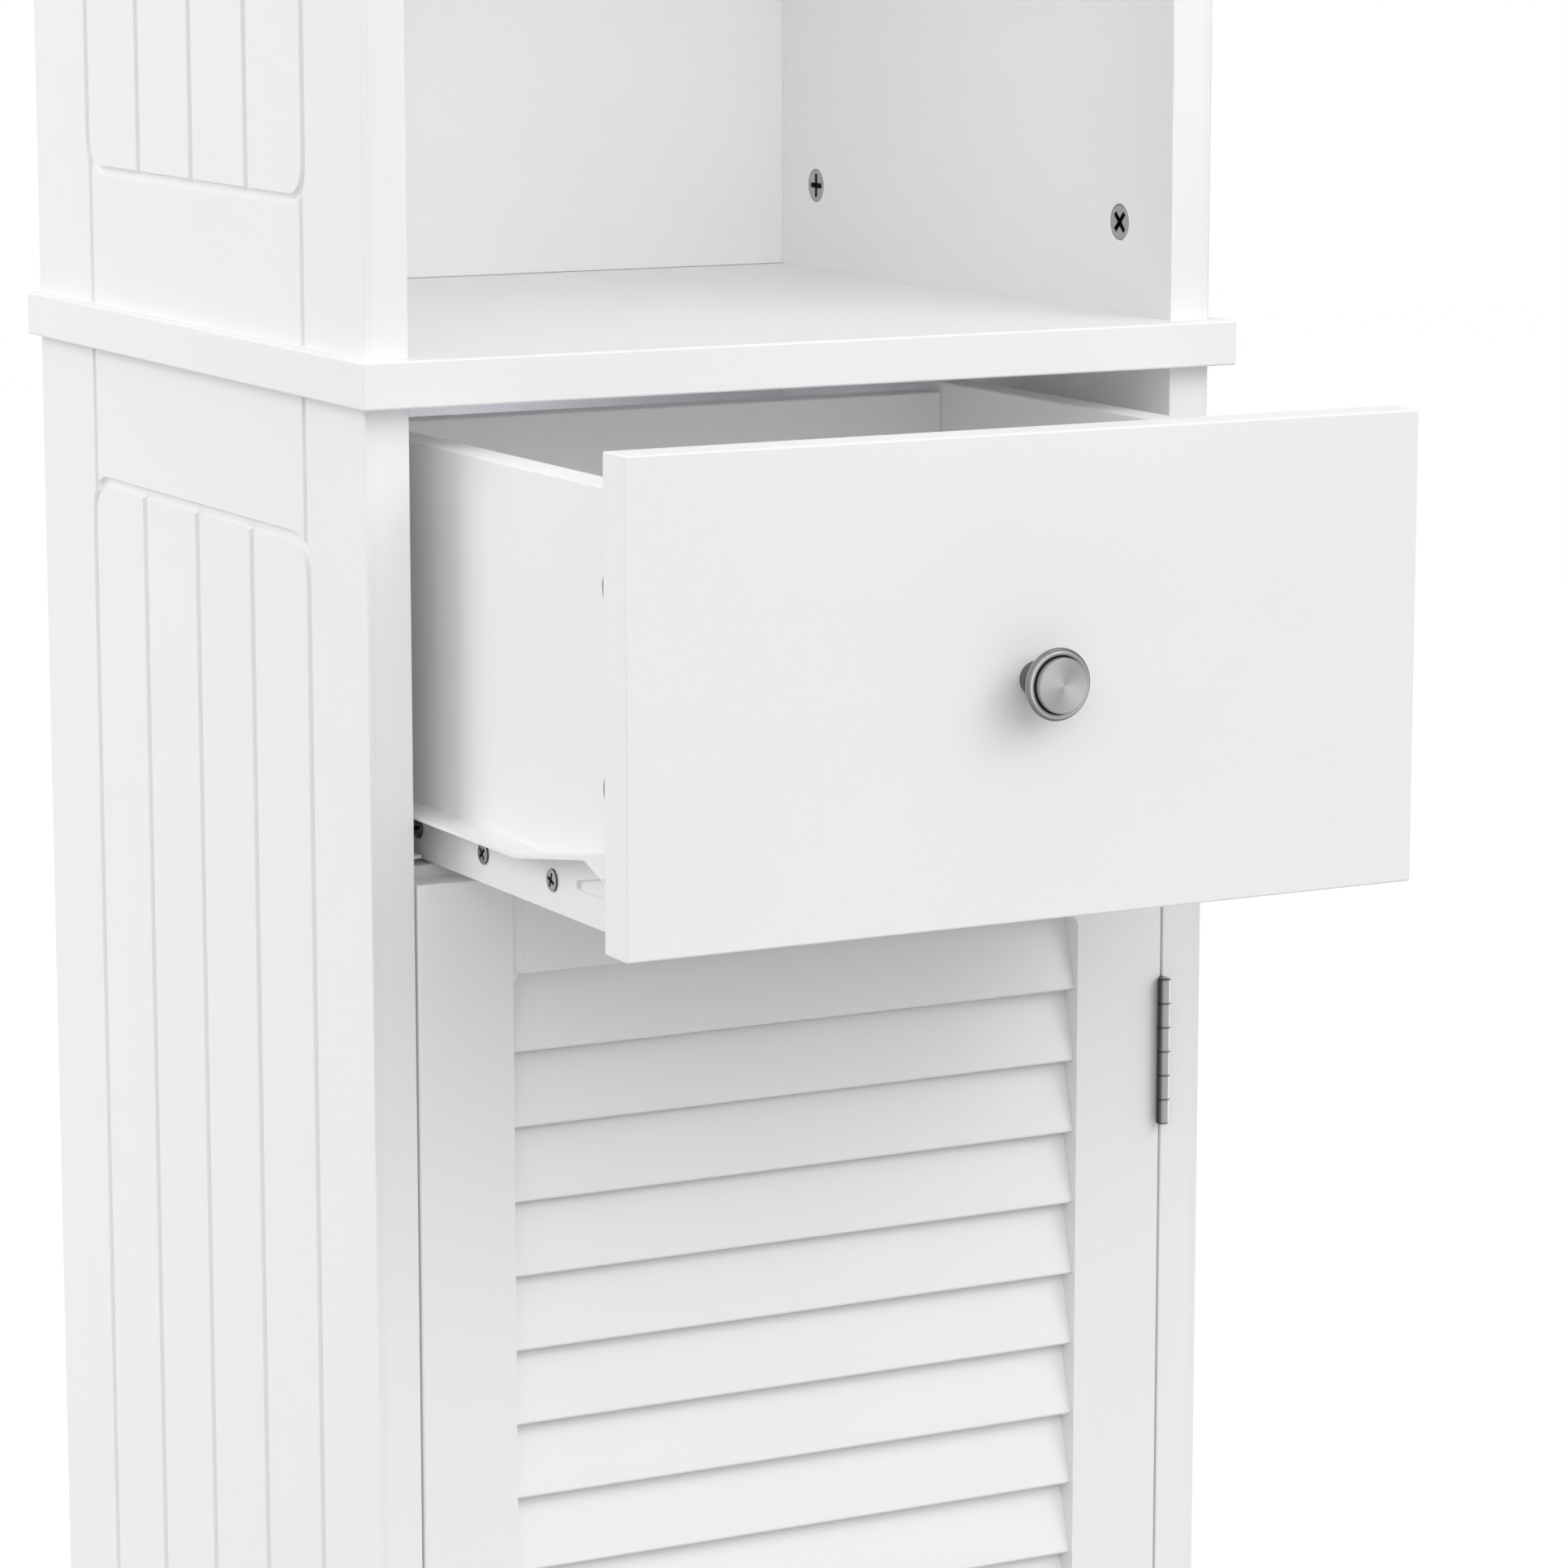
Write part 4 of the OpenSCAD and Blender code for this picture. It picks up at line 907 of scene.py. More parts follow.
def smooth_line(points: Sequence[tuple[float, float]], steps: int = 4) -> list[tuple[float, float]]:
    """A Catmull-Rom curve through points: each span runs parallel to its neighbours at its ends.

    Between b and c, with a before and d after them, the curve at t from 0 to 1 is half of
    2 b + (c - a) t + (2 a - 5 b + 4 c - d) t^2 + (3 b - a - 3 c + d) t^3.

    Args:
        points: The points to pass through.
        steps: Spans between two of them.

    Returns:
        The points of the curve, whose first coordinate is kept at 0 or more.
    """
    p = np.array(points, dtype=float)
    q = np.vstack((p[:1], p, p[-1:]))
    t = (np.arange(steps) / steps)[:, None]
    spans = []
    for k in range(len(p) - 1):
        a, b, c, d = q[k : k + 4]
        curved = (2 * a - 5 * b + 4 * c - d) * t**2 + (3 * b - a - 3 * c + d) * t**3
        spans.append(0.5 * (2 * b + (c - a) * t + curved))
    line = np.vstack((*spans, p[-1:]))
    line[:, 0] = np.maximum(line[:, 0], 0.0)
    return [tuple(v) for v in line.tolist()]


# ---------------------------------------------------------------- pieces
class Rounded(Enum):
    """Which outer edges of a board are rounded."""

    ALL = "all"
    UPRIGHT = "upright"


def shade_by_angle(mesh: bpy.types.Mesh, degrees: float) -> None:
    """Smooths a mesh except over edges sharper than an angle.

    Args:
        mesh: The mesh.
        degrees: The angle.
    """
    mesh.polygons.foreach_set("use_smooth", np.ones(len(mesh.polygons), dtype=bool))
    edit = bmesh.new()
    edit.from_mesh(mesh)
    for edge in edit.edges:
        edge.smooth = edge.is_boundary or edge.calc_face_angle(0.0) < math.radians(degrees)
    edit.to_mesh(mesh)
    edit.free()


def stand_in(
    mesh: bpy.types.Mesh,
    node: str,
    body: str,
    material: bpy.types.Material,
    smooth_degrees: float,
) -> bpy.types.Object:
    """Puts a mesh into the scene as the piece that stands for a CAD node.

    Args:
        mesh: The mesh, whose name the piece takes.
        node: The CAD node that it replaces.
        body: The body that it rides on.
        material: Its material.
        smooth_degrees: Edges sharper than this stay sharp.

    Returns:
        The piece.
    """
    obj = bpy.data.objects.new(mesh.name, mesh)
    bpy.context.scene.collection.objects.link(obj)
    shade_by_angle(mesh, smooth_degrees)
    mesh.materials.clear()
    mesh.materials.append(material)
    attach(obj, body)
    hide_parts(node)
    LOG.info("%s: %d faces on %s", obj.name, len(mesh.polygons), body)
    return obj


def as_piece(
    node: str,
    form: Form,
    body: str,
    material: bpy.types.Material,
    smooth_degrees: float = 35.0,
    name: str = "",
) -> None:
    """Makes a piece from a surface.

    Args:
        node: The CAD node that it replaces.
        form: Its surface.
        body: The body that it rides on.
        material: Its material.
        smooth_degrees: Edges sharper than this stay sharp.
        name: What it is called where two pieces stand for one node.
    """
    mesh = bpy.data.meshes.new(f"{name or node}_look")
    mesh.from_pydata((form.points * MM).tolist(), [], form.faces)
    # The painted shade of recesses, read by the metal finishes
    mesh.attributes.new("recess", "FLOAT", "POINT").data.foreach_set("value", form.recess)
    edit = bmesh.new()
    edit.from_mesh(mesh)
    bmesh.ops.remove_doubles(edit, verts=edit.verts, dist=1e-6)
    bmesh.ops.recalc_face_normals(edit, faces=edit.faces)
    edit.to_mesh(mesh)
    edit.free()
    stand_in(mesh, node, body, material, smooth_degrees)


@dataclass(frozen=True)
class Softening:
    """How a solid's copy is merged, cleared of flat edges and rounded. Distances are in metres."""

    merge: float = 2e-6
    flat_degrees: float = 0.4
    on_side: float = 2e-5
    segments: int = 3

    def mark(self, edit: bmesh.types.BMesh, edges: Rounded) -> None:
        """Marks the edges to be rounded.

        An edge is marked where both its ends lie in the same two sides of the mesh's box or, for
        upright edges, where it also runs along Z.

        Args:
            edit: The mesh.
            edges: Which edges are rounded.
        """
        key = "bevel_weight_edge"
        weight = edit.edges.layers.float.get(key) or edit.edges.layers.float.new(key)
        edit.verts.index_update()
        co = np.array([v.co for v in edit.verts])
        ends = np.array([[v.index for v in edge.verts] for edge in edit.edges])
        low = np.abs(co - co.min(axis=0)) < self.on_side
        high = np.abs(co - co.max(axis=0)) < self.on_side
        first, second = ends[:, 0], ends[:, 1]
        shared = (low[first] & low[second]) | (high[first] & high[second])
        outer = shared.sum(axis=1) == 2
        upright = (np.abs(co[first] - co[second])[:, :2] < self.on_side).all(axis=1)
        for edge, marked in zip(edit.edges, outer & (upright | (edges is Rounded.ALL))):
            if marked:
                edge[weight] = 1.0

    def soften(self, obj: bpy.types.Object, radius: float) -> None:
        """Rounds the marked edges of a piece and keeps its large faces flat.

        Args:
            obj: The piece.
            radius: Of the rounding, in millimetres.
        """
        bevel = obj.modifiers.new("soft_edges", "BEVEL")
        bevel.limit_method = "WEIGHT"
        bevel.width = radius * MM
        bevel.segments = self.segments
        bevel.use_clamp_overlap = False
        bevel.loop_slide = False
        obj.modifiers.new("flat_faces", "WEIGHTED_NORMAL").keep_sharp = True


def softened(
    node: str,
    body: str,
    material: bpy.types.Material,
    radius: float,
    edges: Rounded = Rounded.ALL,
    smooth_degrees: float = 40.0,
) -> None:
    """Dresses a CAD node as a merged copy of its solid whose outer edges are rounded.

    Args:
        node: The CAD node.
        body: Its body.
        material: Its material.
        radius: Of the rounding.
        edges: Which edges are rounded.
        smooth_degrees: Edges sharper than this stay sharp.
    """
    way = Softening()
    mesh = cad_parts[node].data.copy()
    mesh.name = f"{node}_look"
    edit = bmesh.new()
    edit.from_mesh(mesh)
    bmesh.ops.remove_doubles(edit, verts=edit.verts, dist=way.merge)
    bmesh.ops.dissolve_limit(
        edit,
        angle_limit=math.radians(way.flat_degrees),
        verts=edit.verts,
        edges=edit.edges,
        use_dissolve_boundaries=False,
    )
    way.mark(edit, edges)
    edit.to_mesh(mesh)
    edit.free()
    way.soften(stand_in(mesh, node, body, material, smooth_degrees), radius)


def dress(node: str, material: bpy.types.Material) -> None:
    """Gives a CAD node that shows as it is its material.

    Args:
        node: The CAD node.
        material: Its material.
    """
    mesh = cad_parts[node].data
    mesh.materials.clear()
    mesh.materials.append(material)
    LOG.info("%s: its own solid in %s", node, material.name)


# ---------------------------------------------------------------- sub-assemblies
@dataclass
class CamRow:
    """Cam locks: drums that fill their holes, each with a screwdriver cross in its face.

    They stand in two rows along Y. A board's locks are its reach away from the panel that it meets,
    and unders are the undersides of the boards whose locks look down.
    """

    finishes: Finishes
    drum_d: float = 12.0
    drum_h: float = 11.4
    drawer_drum_h: float = 8.4
    cross_l: float = 8.4
    cross_bar: float = 1.8
    cross_depth: float = 1.8
    inner_x: float = 140.0
    reach: float = 31.0
    drawer_reach: float = 17.0
    mid_top: float = 840.0
    mid_under: float = 825.0
    top_under: float = 1685.0
    plinth_z: float = 38.75
    board_t: float = 15.0
    rows: tuple[float, float] = (33.7, 252.9)
    unders: tuple[float, float, float] = (62.5, 660.0, 1074.0)
    drawer_x: float = 127.5
    drawer_in_x: float = 115.5
    drawer_rear_y: float = 125.0
    drawer_cam_y: float = -118.0
    drawer_zs: tuple[float, float] = (719.5, 780.5)

    def lock(self, height: float, spin: float) -> Form:
        """A cam lock of a given height, whose face lies at z = 0 with its cross turned by spin."""
        cross = (self.cross_l, self.cross_bar, self.cross_depth)
        return CrossHead(self.drum_d / 2, height, *cross, spin=spin).form()

    def cap(self, height: float) -> Form:
        """A lock with a smooth cover cap pressed over it: a round shoulder and a faint dish.

        Args:
            height: Of the drum.

        Returns:
            The covered drum, whose face lies at z = 0.
        """
        r = self.drum_d / 2
        side = [(0.0, -height), (r, -height), (r, -0.35)]
        shoulder = [(r - 0.1, -0.1), (r - 0.4, 0.0), (r - 1.2, 0.0)]
        dish = [(r * 0.5, -0.08), (0.0, -0.12)]
        return turned_form(side + shoulder + dish, steps=40)

    def carcass(self) -> None:
        """Places the carcass's cam locks in both side panels, under the boards and in the plinth.

        Those above the drawer, below the middle board, are covered with caps.
        """
        locks, caps = [], []
        for y, spin in zip(self.rows, (math.pi / 4, 0.0)):
            for z in (self.mid_top + self.reach, self.top_under - self.reach):
                place = at(self.inner_x, y, z, Facing.LEFT)
                locks.append(self.lock(self.drum_h, spin).placed(place))
            place = at(self.inner_x, y, self.mid_under - self.reach, Facing.LEFT)
            caps.append(self.cap(self.drum_h).placed(place))
        inside = self.inner_x - self.reach
        for z in self.unders:
            for y, spin in zip(self.rows, (0.3, 0.9)):
                place = at(inside, y, z, Facing.DOWN)
                locks.append(self.lock(self.drum_h, spin).placed(place))
        place = at(inside, self.board_t, self.plinth_z, Facing.BACK)
        locks.append(self.lock(self.drum_h, spin=0.5).placed(place))
        f, node = self.finishes, "carcass_cams"
        as_piece(node, joined(locks).paired(), "cabinet", f.zinc)
        capped = joined(caps).paired()
        as_piece(node, capped, "cabinet", f.cap, name="carcass_cam_caps")

    def drawer(self) -> None:
        """Places the drawer's cam locks in its sides and in its back."""
        locks = []
        for z, spin in zip(self.drawer_zs, (0.2, 0.7)):
            lock = self.lock(self.drawer_drum_h, spin)
            rear_x = self.drawer_in_x - self.drawer_reach
            locks.append(lock.placed(at(self.drawer_x, self.drawer_cam_y, z, Facing.RIGHT)))
            locks.append(lock.placed(at(rear_x, self.drawer_rear_y, z, Facing.BACK)))
        zinc = self.finishes.zinc
        as_piece("drawer_cams", joined(locks).paired(), "drawer", zinc)


@dataclass
class Carcass:
    """The fixed boards of the tower."""

    finishes: Finishes
    edge_r: float = 0.7
    panel_edge_r: float = 0.4
    inner_edge_r: float = 0.5
    catch_edge_r: float = 0.4
    bracket_edge_r: float = 0.3

    def build(self) -> None:
        """Dresses the boards, panels, shelves and small fittings."""
        f = self.finishes
        for node in ("lower_side_left", "lower_side_right", "upper_side_left", "upper_side_right"):
            softened(node, "cabinet", f.side, self.panel_edge_r, Rounded.UPRIGHT)
        for node in ("mid_board", "top_board", "compartment_board", "plinth"):
            softened(node, "cabinet", f.board, self.edge_r)
        for node in ("bottom_board", "divider_board", "lower_shelf", "upper_shelf"):
            softened(node, "cabinet", f.inner, self.inner_edge_r)
        for node in ("lower_back_panel", "upper_back_panel"):
            dress(node, f.back)
        for node in ("carcass_cam_bolts", "mid_cam_bolts", "shelf_pins", "frame_screws"):
            dress(node, f.zinc)
        dress("carcass_dowels", f.beech)
        softened("magnet_catches", "cabinet", f.plastic, self.catch_edge_r)
        softened("wall_bracket", "cabinet", f.zinc, self.bracket_edge_r)


@dataclass
class Slides:
    """Roller slides: a rail on the carcass and a runner on the drawer, on both sides."""

    finishes: Finishes
    sheet_edge_r: float = 0.15
    rail_in: float = 138.8
    rail_screw_y: tuple[float, float, float] = (69.0, 149.0, 229.0)
    rail_axle_y: float = 41.0
    rail_roller_x: tuple[float, float] = (131.0, 138.4)
    runner_out: float = 128.7
    runner_screw_y: tuple[float, float, float] = (-78.8, -28.5, 21.8)
    runner_screw_z: float = 686.0
    runner_axle_y: float = 108.5
    runner_roller_x: tuple[float, float] = (129.6, 136.9)
    roller_z: float = 685.2
    roller_r: float = 7.0
    bore_r: float = 2.05
    shoulder: Pairs = (
        *((2.2, 0.0), (1.8, 0.25), (1.2, 0.0)),
        *((0.5, 0.1), (0.1, 0.45), (0.0, 0.9)),
    )

    def screws(self, x: float, z: float, places: Sequence[float]) -> Form:
        """Pan-head screws in a face that looks towards +X.

        Args:
            x: Where the heads' feet lie.
            z: Their height.
            places: Their places along Y.

        Returns:
            The screws.
        """
        head = CrossHead(
            radius=3.5,
            height=0.8,
            cross_length=4.6,
            cross_width=1.0,
            cross_depth=0.75,
            shank_radius=1.5,
            shank_length=10.0,
        )
        out = []
        for k, y in enumerate(places):
            head.spin = 0.35 + 0.5 * k
            out.append(head.form().placed(at(x + head.height, y, z, Facing.RIGHT)))
        return joined(out)

    def roller(self, x0: float, x1: float, y: float) -> Form:
        """A roller with round shoulders and a bore, on an axle along X.

        Its profile runs out from the bore over the shoulder, whose pairs say how far inside the
        roller's radius and how far from its end each point lies, and back in at the other end.

        Args:
            x0: Where it begins.
            x1: Where it ends.
            y: Where its axle is.

        Returns:
            The roller.
        """
        width = x1 - x0
        rise = [(self.bore_r, 0.0), *((self.roller_r - depth, up) for depth, up in self.shoulder)]
        fall = [(r, width - up) for r, up in reversed(rise)]
        place = at(x0, y, self.roller_z, Facing.RIGHT)
        return turned_form([*rise, *fall, rise[0]], steps=40).placed(place)

    def build(self) -> None:
        """Dresses rails, runners, rollers and their screws."""
        f = self.finishes
        for kind, body in (("rail", "cabinet"), ("runner", "drawer")):
            for side in ("left", "right"):
                node, edge_r = f"{kind}_{side}", self.sheet_edge_r
                softened(node, body, f.epoxy, edge_r, smooth_degrees=25.0)
        outward = self.screws(self.runner_out, self.runner_screw_z, self.runner_screw_y)
        as_piece("runner_screws", outward.paired(), "drawer", f.screw)
        # The left rail's screws look towards +X, and the right rail's are their mirror image
        inward = self.screws(-self.rail_in, self.roller_z, self.rail_screw_y)
        as_piece("rail_screws", inward.paired(), "cabinet", f.screw)
        for kind, span, y in (
            ("rail_roller", self.rail_roller_x, self.rail_axle_y),
            ("runner_roller", self.runner_roller_x, self.runner_axle_y),
        ):
            right = self.roller(*span, y)
            for side, form in (("right", right), ("left", right.mirrored())):
                node = f"{kind}_{side}"
                as_piece(node, form, node, f.plastic)
        for node in ("rail_axles", "runner_axles"):
            dress(node, f.zinc)


@dataclass
class Knob:
    """A turned knob: a beaded foot, a neck, a wide ring, a stepped rim and a raised disc."""

    head_d: float = 22.5
    length: float = 17.0
    head_t: float = 6.0
    foot_d: float = 11.0
    disc_d: float = 17.3
    disc_t: float = 2.0

    def profile(self) -> list[tuple[float, float]]:
        """Radius and height from the board up the neck, round the ring, over the rim and the disc.

        Returns:
            The points from the lower pole to the upper one.
        """
        r, foot, disc, top = self.head_d / 2, self.foot_d / 2, self.disc_d / 2, self.length
        head, rim = top - self.head_t, top - self.disc_t
        bead = [(foot, 0.7), (foot - 0.45, 1.0), (foot - 0.45, 1.25), (foot - 0.15, 1.6)]
        neck = [(foot - 0.5, 2.1), (foot - 1.0, head - 4.6), (foot - 0.4, head - 2.4)]
        flare = [(foot + 1.6, head - 0.7), (r - 1.6, head + 0.4), (r - 0.4, head + 1.4)]
        ring = [(r - 0.02, rim - 1.7), (r - 0.12, rim - 1.25), (r - 0.55, rim - 0.97)]
        step = [(r - 0.95, rim - 0.93), (r - 1.0, rim - 0.85), (r - 0.96, rim - 0.45)]
        edge = [(r - 1.05, rim - 0.2), (r - 1.25, rim - 0.06), (r - 1.6, rim)]
        gap = [(disc + 0.4, rim), (disc + 0.02, rim - 0.4), (disc, rim - 0.35)]
        face = [(disc, top - 0.45), (disc - 0.1, top - 0.2), (disc - 0.35, top - 0.06)]
        base = [(0.0, 0.0), (foot, 0.0)]
        stem = smooth_line(bead + neck + flare + ring)
        return [*base, *stem, *step, *edge, *gap, *face, (0.0, top - 0.03)]

    def build(self, body: str, x: float, y: float, z: float) -> None:
        """Makes a body's knob on a face that looks to the front.

        Args:
            body: The body, which the knob's node is named after.
            x: The knob's axis, across.
            y: The face.
            z: The height of its axis.
        """
        form = turned_form(self.profile(), steps=72).placed(at(x, y, z, Facing.FRONT))
        metal = TurnedNickel(x, y, z).material(f"turned_nickel_{body}")
        as_piece(f"{body}_knob", form, body, metal, smooth_degrees=50.0)


@dataclass
class Drawer:
    """The drawer, standing 150 mm out at rest."""

    finishes: Finishes
    knob: Knob = field(default_factory=Knob)
    out: float = 150.0
    knob_z: float = 748.9
    edge_r: float = 0.6

    def build(self) -> None:
        """Dresses the drawer's boards, knob and bolts."""
        f = self.finishes
        softened("drawer_front", "drawer", f.board, self.edge_r)
        for node in ("drawer_side_left", "drawer_side_right", "drawer_back"):
            softened(node, "drawer", f.inner, self.edge_r)
        dress("drawer_bottom", f.back)
        dress("drawer_cam_bolts", f.zinc)
        dress("drawer_knob_screw", f.zinc)
        self.knob.build("drawer", 0.0, -self.out, self.knob_z)


@dataclass
class LouvredDoor:
    """A framed door filled with tilted slats.

    The first slat's foot lies that far below the top rail, and each later one a pitch lower. Their
    ends sit in the stiles as deep as the seat.
    """

    finishes: Finishes
    name: str
    low: float
    high: float
    knob: Knob = field(default_factory=Knob)
    x0: float = -139.0
    x1: float = 139.3
    stile_w: float = 33.3
    rail_h: float = 32.0
    frame_edge_r: float = 0.9
    pitch: float = 25.0
    first: float = 26.2
    slat_t: float = 4.6
    slat_edge_r: float = 0.9
    tilt: float = 16.0
    inset: float = 2.0
    seat: float = 4.9
    top_gap: float = 0.4
    leaf_edge_r: float = 0.1
    plate_edge_r: float = 0.2

    def slats(self) -> Form:
        """All slats: a rounded bar, tilted so that its lower edge stands forward, for each place.

        A point (u, v) of the bar's outline goes to (u cos a + v sin a, v cos a - u sin a).

        Returns:
            The slats, from the top down.
        """
        a = math.radians(self.tilt)
        height = (self.first - self.top_gap) / math.cos(a)
        u, v = rounded_outline(self.slat_t, height, self.slat_edge_r, steps=6).T
        across, up = u * math.cos(a) + v * math.sin(a), v * math.cos(a) - u * math.sin(a)
        tilted = np.column_stack((across, up))
        start, stop = self.x0 + self.stile_w - self.seat, self.x1 - self.stile_w + self.seat
        top, bottom = self.high - self.rail_h - self.first, self.low + self.rail_h
        count = int((top - bottom) / self.pitch) + 1
        feet = [(self.inset, top - k * self.pitch) for k in range(count)]
        return joined(bar_form(tilted + foot, start, stop) for foot in feet)

    def build(self) -> None:
        """Dresses frame, slats, knob, leaves, screws and strike plate."""
        f, body = self.finishes, self.name
        softened(f"{body}_frame", body, f.door, self.frame_edge_r)
        slats = self.slats()
        as_piece(f"{body}_slats", slats, body, f.door, smooth_degrees=50.0)
        self.knob.build(body, self.x0 + self.stile_w / 2, 0.0, (self.low + self.high) / 2)
        softened(f"{body}_leaves", body, f.nickel, self.leaf_edge_r)
        dress(f"{body}_knob_screw", f.zinc)
        dress(f"{body}_screws", f.zinc)
        plate = body.replace("door", "strike_plate")
        softened(plate, body, f.zinc, self.plate_edge_r)


@dataclass
class HingePins:
    """Hinge pins with domed heads, and the leaves on the carcass."""

    finishes: Finishes
    x: float = HINGE_X
    y: float = -2.6
    starts: tuple[float, ...] = HINGE_STARTS
    pin_r: float = 1.2
    head_r: float = 1.9
    length: float = 50.6
    dome: Pairs = ((0.0, 0.6), (0.6, 0.55), (1.0, 0.25), (1.0, 0.1))
    leaf_edge_r: float = 0.1

    def build(self) -> None:
        """Makes the pins and dresses the carcass leaves.

        The dome's pairs are a share of the head's radius and the distance beyond the pin's end.
        """
        foot = [(self.head_r * share, -beyond) for share, beyond in self.dome]
        foot.append((self.pin_r, foot[-1][1]))
        head = [(r, self.length - h) for r, h in reversed(foot)]
        pin = turned_form(foot + head, steps=24)
        pins = joined(pin.placed(Matrix.Translation((self.x, self.y, z))) for z in self.starts)
        nickel = self.finishes.nickel
        as_piece("hinge_pins", pins, "cabinet", nickel)
        softened("hinge_frame_leaves", "cabinet", nickel, self.leaf_edge_r)


# ---------------------------------------------------------------- studio
@dataclass(frozen=True)
class Lamp:
    """A square soft light: its place and aim in metres, its side, watts, spread and colour."""

    name: str
    place: tuple[float, float, float]
    aim: tuple[float, float, float]
    size: float
    power: float
    spread: float = 180.0
    tone: Colour = (1.0, 1.0, 1.0)

    def hang(self) -> None:
        """Puts the light into the scene."""
        data = bpy.data.lights.new(self.name, "AREA")
        data.size = self.size
        data.energy = self.power
        data.spread = math.radians(self.spread)
        data.color = self.tone
        lamp = bpy.data.objects.new(self.name, data)
        lamp.location = self.place
        lamp.visible_camera = False
        aim = Vector(self.aim) - Vector(self.place)
        lamp.rotation_euler = aim.to_track_quat("-Z", "Y").to_euler()
        bpy.context.scene.collection.objects.link(lamp)


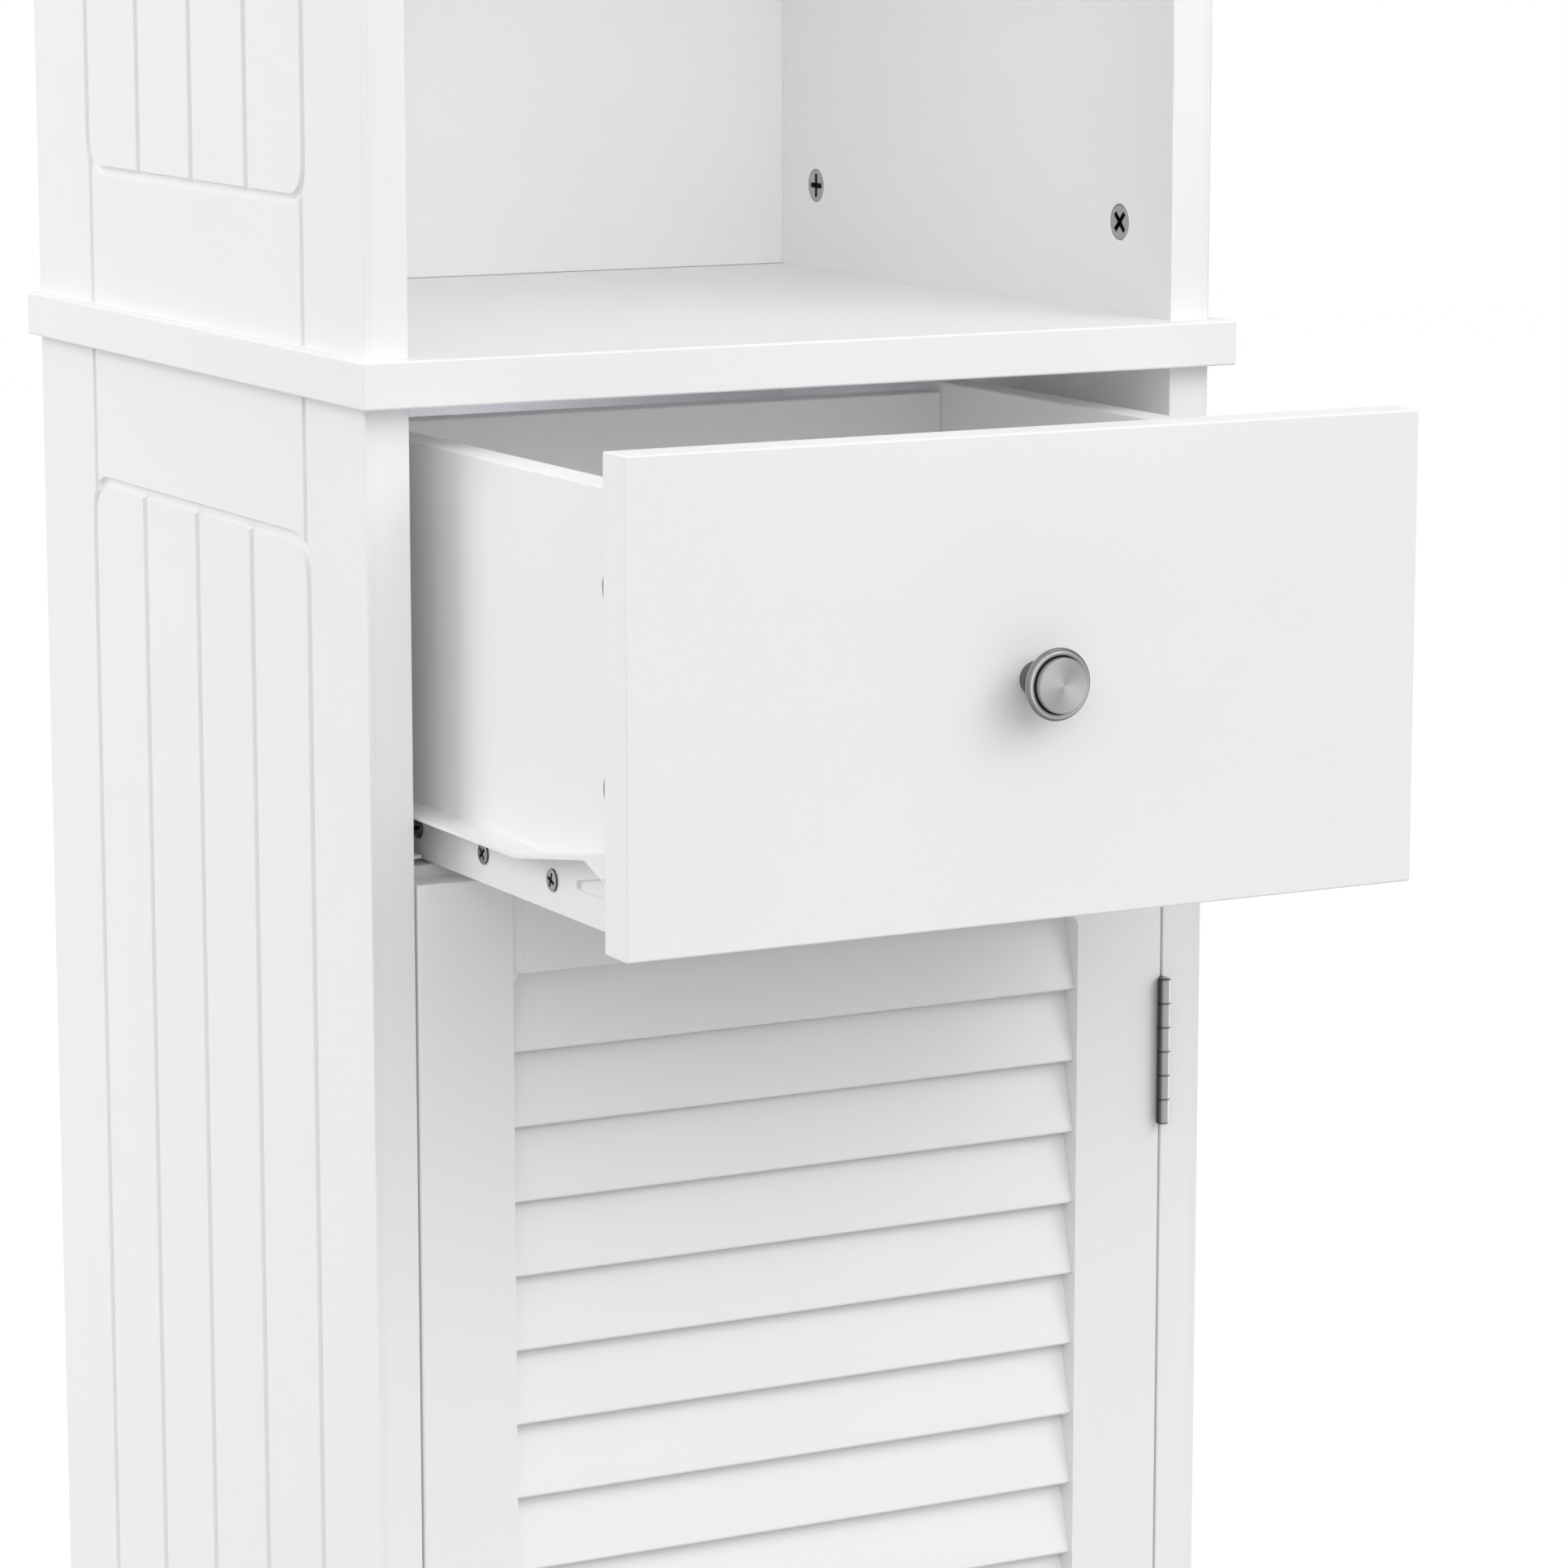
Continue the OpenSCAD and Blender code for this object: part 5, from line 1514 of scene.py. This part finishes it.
@dataclass
class Studio:
    """Camera, floor and lights.

    The camera's place, its lens and its sensor are in millimetres, and all else is in metres.
    """

    camera_mm: tuple[float, float, float] = (-831.97, -1562.18, 1002.9)
    yaw: float = 27.835
    pitch: float = 9.927
    lens: float = 125.26
    sensor: float = 36.0
    near: float = 0.05
    far: float = 60.0
    floor_half: float = 8.0
    floor_tone: Colour = (0.5, 0.5, 0.5)
    floor_lift: float = 0.55
    sky_tone: Colour = (0.997, 0.997, 1.0)
    sky_even: float = 1.9
    sky_front: float = 7.45
    sky_top: float = 1.4
    bounces: int = 8
    lamps: tuple[Lamp, ...] = (
        Lamp("left_light", (-2.6, 1.6, 2.0), (0.0, 0.0, 0.65), 2.0, 45.0),
        Lamp("right_light", (1.4, -2.2, 2.6), (0.0, 0.0, 0.85), 1.2, 10.0),
        Lamp("compartment_right", (0.15, -2.2, 1.05), (-0.02, 0.28, 0.97), 0.2, 0.018, 7.0),
        Lamp("compartment_left", (-0.9, -1.9, 1.06), (0.12, 0.12, 0.97), 0.2, 0.02, 7.0),
        Lamp("compartment_fill", (-0.03, 0.03, 1.05), (0.03, 0.28, 0.93), 0.1, 0.055),
        Lamp("bay_fill", (0.0, 0.2, 0.75), (0.0, 0.28, 0.8), 0.08, 0.038, tone=(0.94, 0.92, 1.0)),
    )

    def camera(self) -> None:
        """Puts the camera where the photograph was taken from."""
        data = bpy.data.cameras.new("photo_camera")
        data.lens = self.lens
        data.sensor_width = self.sensor
        data.sensor_height = self.sensor
        data.sensor_fit = "HORIZONTAL"
        data.clip_start = self.near
        data.clip_end = self.far
        camera = bpy.data.objects.new("photo_camera", data)
        camera.location = Vector(self.camera_mm) * MM
        camera.rotation_euler = (math.radians(90.0 - self.pitch), 0.0, math.radians(-self.yaw))
        bpy.context.scene.collection.objects.link(camera)
        bpy.context.scene.camera = camera

    def seen(self, g: Graph) -> Sock:
        """A value of 1 for rays from the camera and for mirror and glass rays, and 0 for the rest.

        Args:
            g: The graph to add it to.

        Returns:
            The value.
        """
        kinds = ("Is Camera Ray", "Is Glossy Ray", "Is Transmission Ray")
        camera, glossy, through = (g.node("ShaderNodeLightPath", out=kind) for kind in kinds)
        return (camera + glossy + through).clamped()

    def world(self) -> None:
        """Soft light, strongest at 30 degrees up in front and straight up; the camera sees white.

        With z as the sine of the height above the horizon and f as the share of the direction that
        points to the front, the light is z (1 - z) (even + front f) + top z^8.
        """
        world = bpy.data.worlds.new("studio_world")
        bpy.context.scene.world = world
        g = Graph("studio_world", world)
        way = g.node("ShaderNodeTexCoord", out="Generated")
        z = g.axis(way, "Z").positive()
        ahead = (-g.axis(way, "Y")).positive()
        round_about = z * (1.0 - z) * (self.sky_even + ahead * self.sky_front)
        strength = round_about + z**8.0 * self.sky_top
        sky, white = opaque(self.sky_tone), opaque((1.0, 1.0, 1.0))
        light = g.node("ShaderNodeBackground", {}, {"Color": sky, "Strength": strength})
        plain = g.node("ShaderNodeBackground", {}, {"Color": white, "Strength": 1.0})
        mixed = g.node("ShaderNodeMixShader", {}, {0: self.seen(g), 1: light, 2: plain})
        g.end("ShaderNodeOutputWorld", mixed)

    def floor(self) -> None:
        """A pale plain floor, which is seen as white where no shadow falls on it."""
        mesh = bpy.data.meshes.new("studio_floor")
        s = self.floor_half
        corners = [(-s, -s, 0.0), (s, -s, 0.0), (s, s, 0.0), (-s, s, 0.0)]
        mesh.from_pydata(corners, [], [(0, 1, 2, 3)])
        floor = bpy.data.objects.new("studio_floor", mesh)
        bpy.context.scene.collection.objects.link(floor)
        g = Graph("studio_floor")
        matt = g.node("ShaderNodeBsdfDiffuse", {}, {"Color": opaque(self.floor_tone)})
        lift = g.node("ShaderNodeEmission", {}, {"Strength": self.seen(g) * self.floor_lift})
        both = g.node("ShaderNodeAddShader", {}, {0: matt, 1: lift})
        g.end("ShaderNodeOutputMaterial", both)
        mesh.materials.append(g.material)

    def build(self) -> None:
        """Sets up the whole studio."""
        self.camera()
        self.world()
        self.floor()
        for lamp in self.lamps:
            lamp.hang()
        bpy.context.scene.cycles.diffuse_bounces = self.bounces
        bpy.context.scene.view_settings.view_transform = "Standard"


def main() -> None:
    """Builds the tower's looks and the studio, in order."""
    logging.basicConfig(level=logging.INFO, format="%(name)s: %(message)s")
    finishes = Finishes()
    Studio().build()
    Carcass(finishes).build()
    cams = CamRow(finishes)
    cams.carcass()
    cams.drawer()
    Slides(finishes).build()
    Drawer(finishes).build()
    LouvredDoor(finishes, "lower_door", low=79.5, high=671.5).build()
    LouvredDoor(finishes, "upper_door", low=1091.0, high=1683.0).build()
    HingePins(finishes).build()


if __name__ == "__main__":
    main()
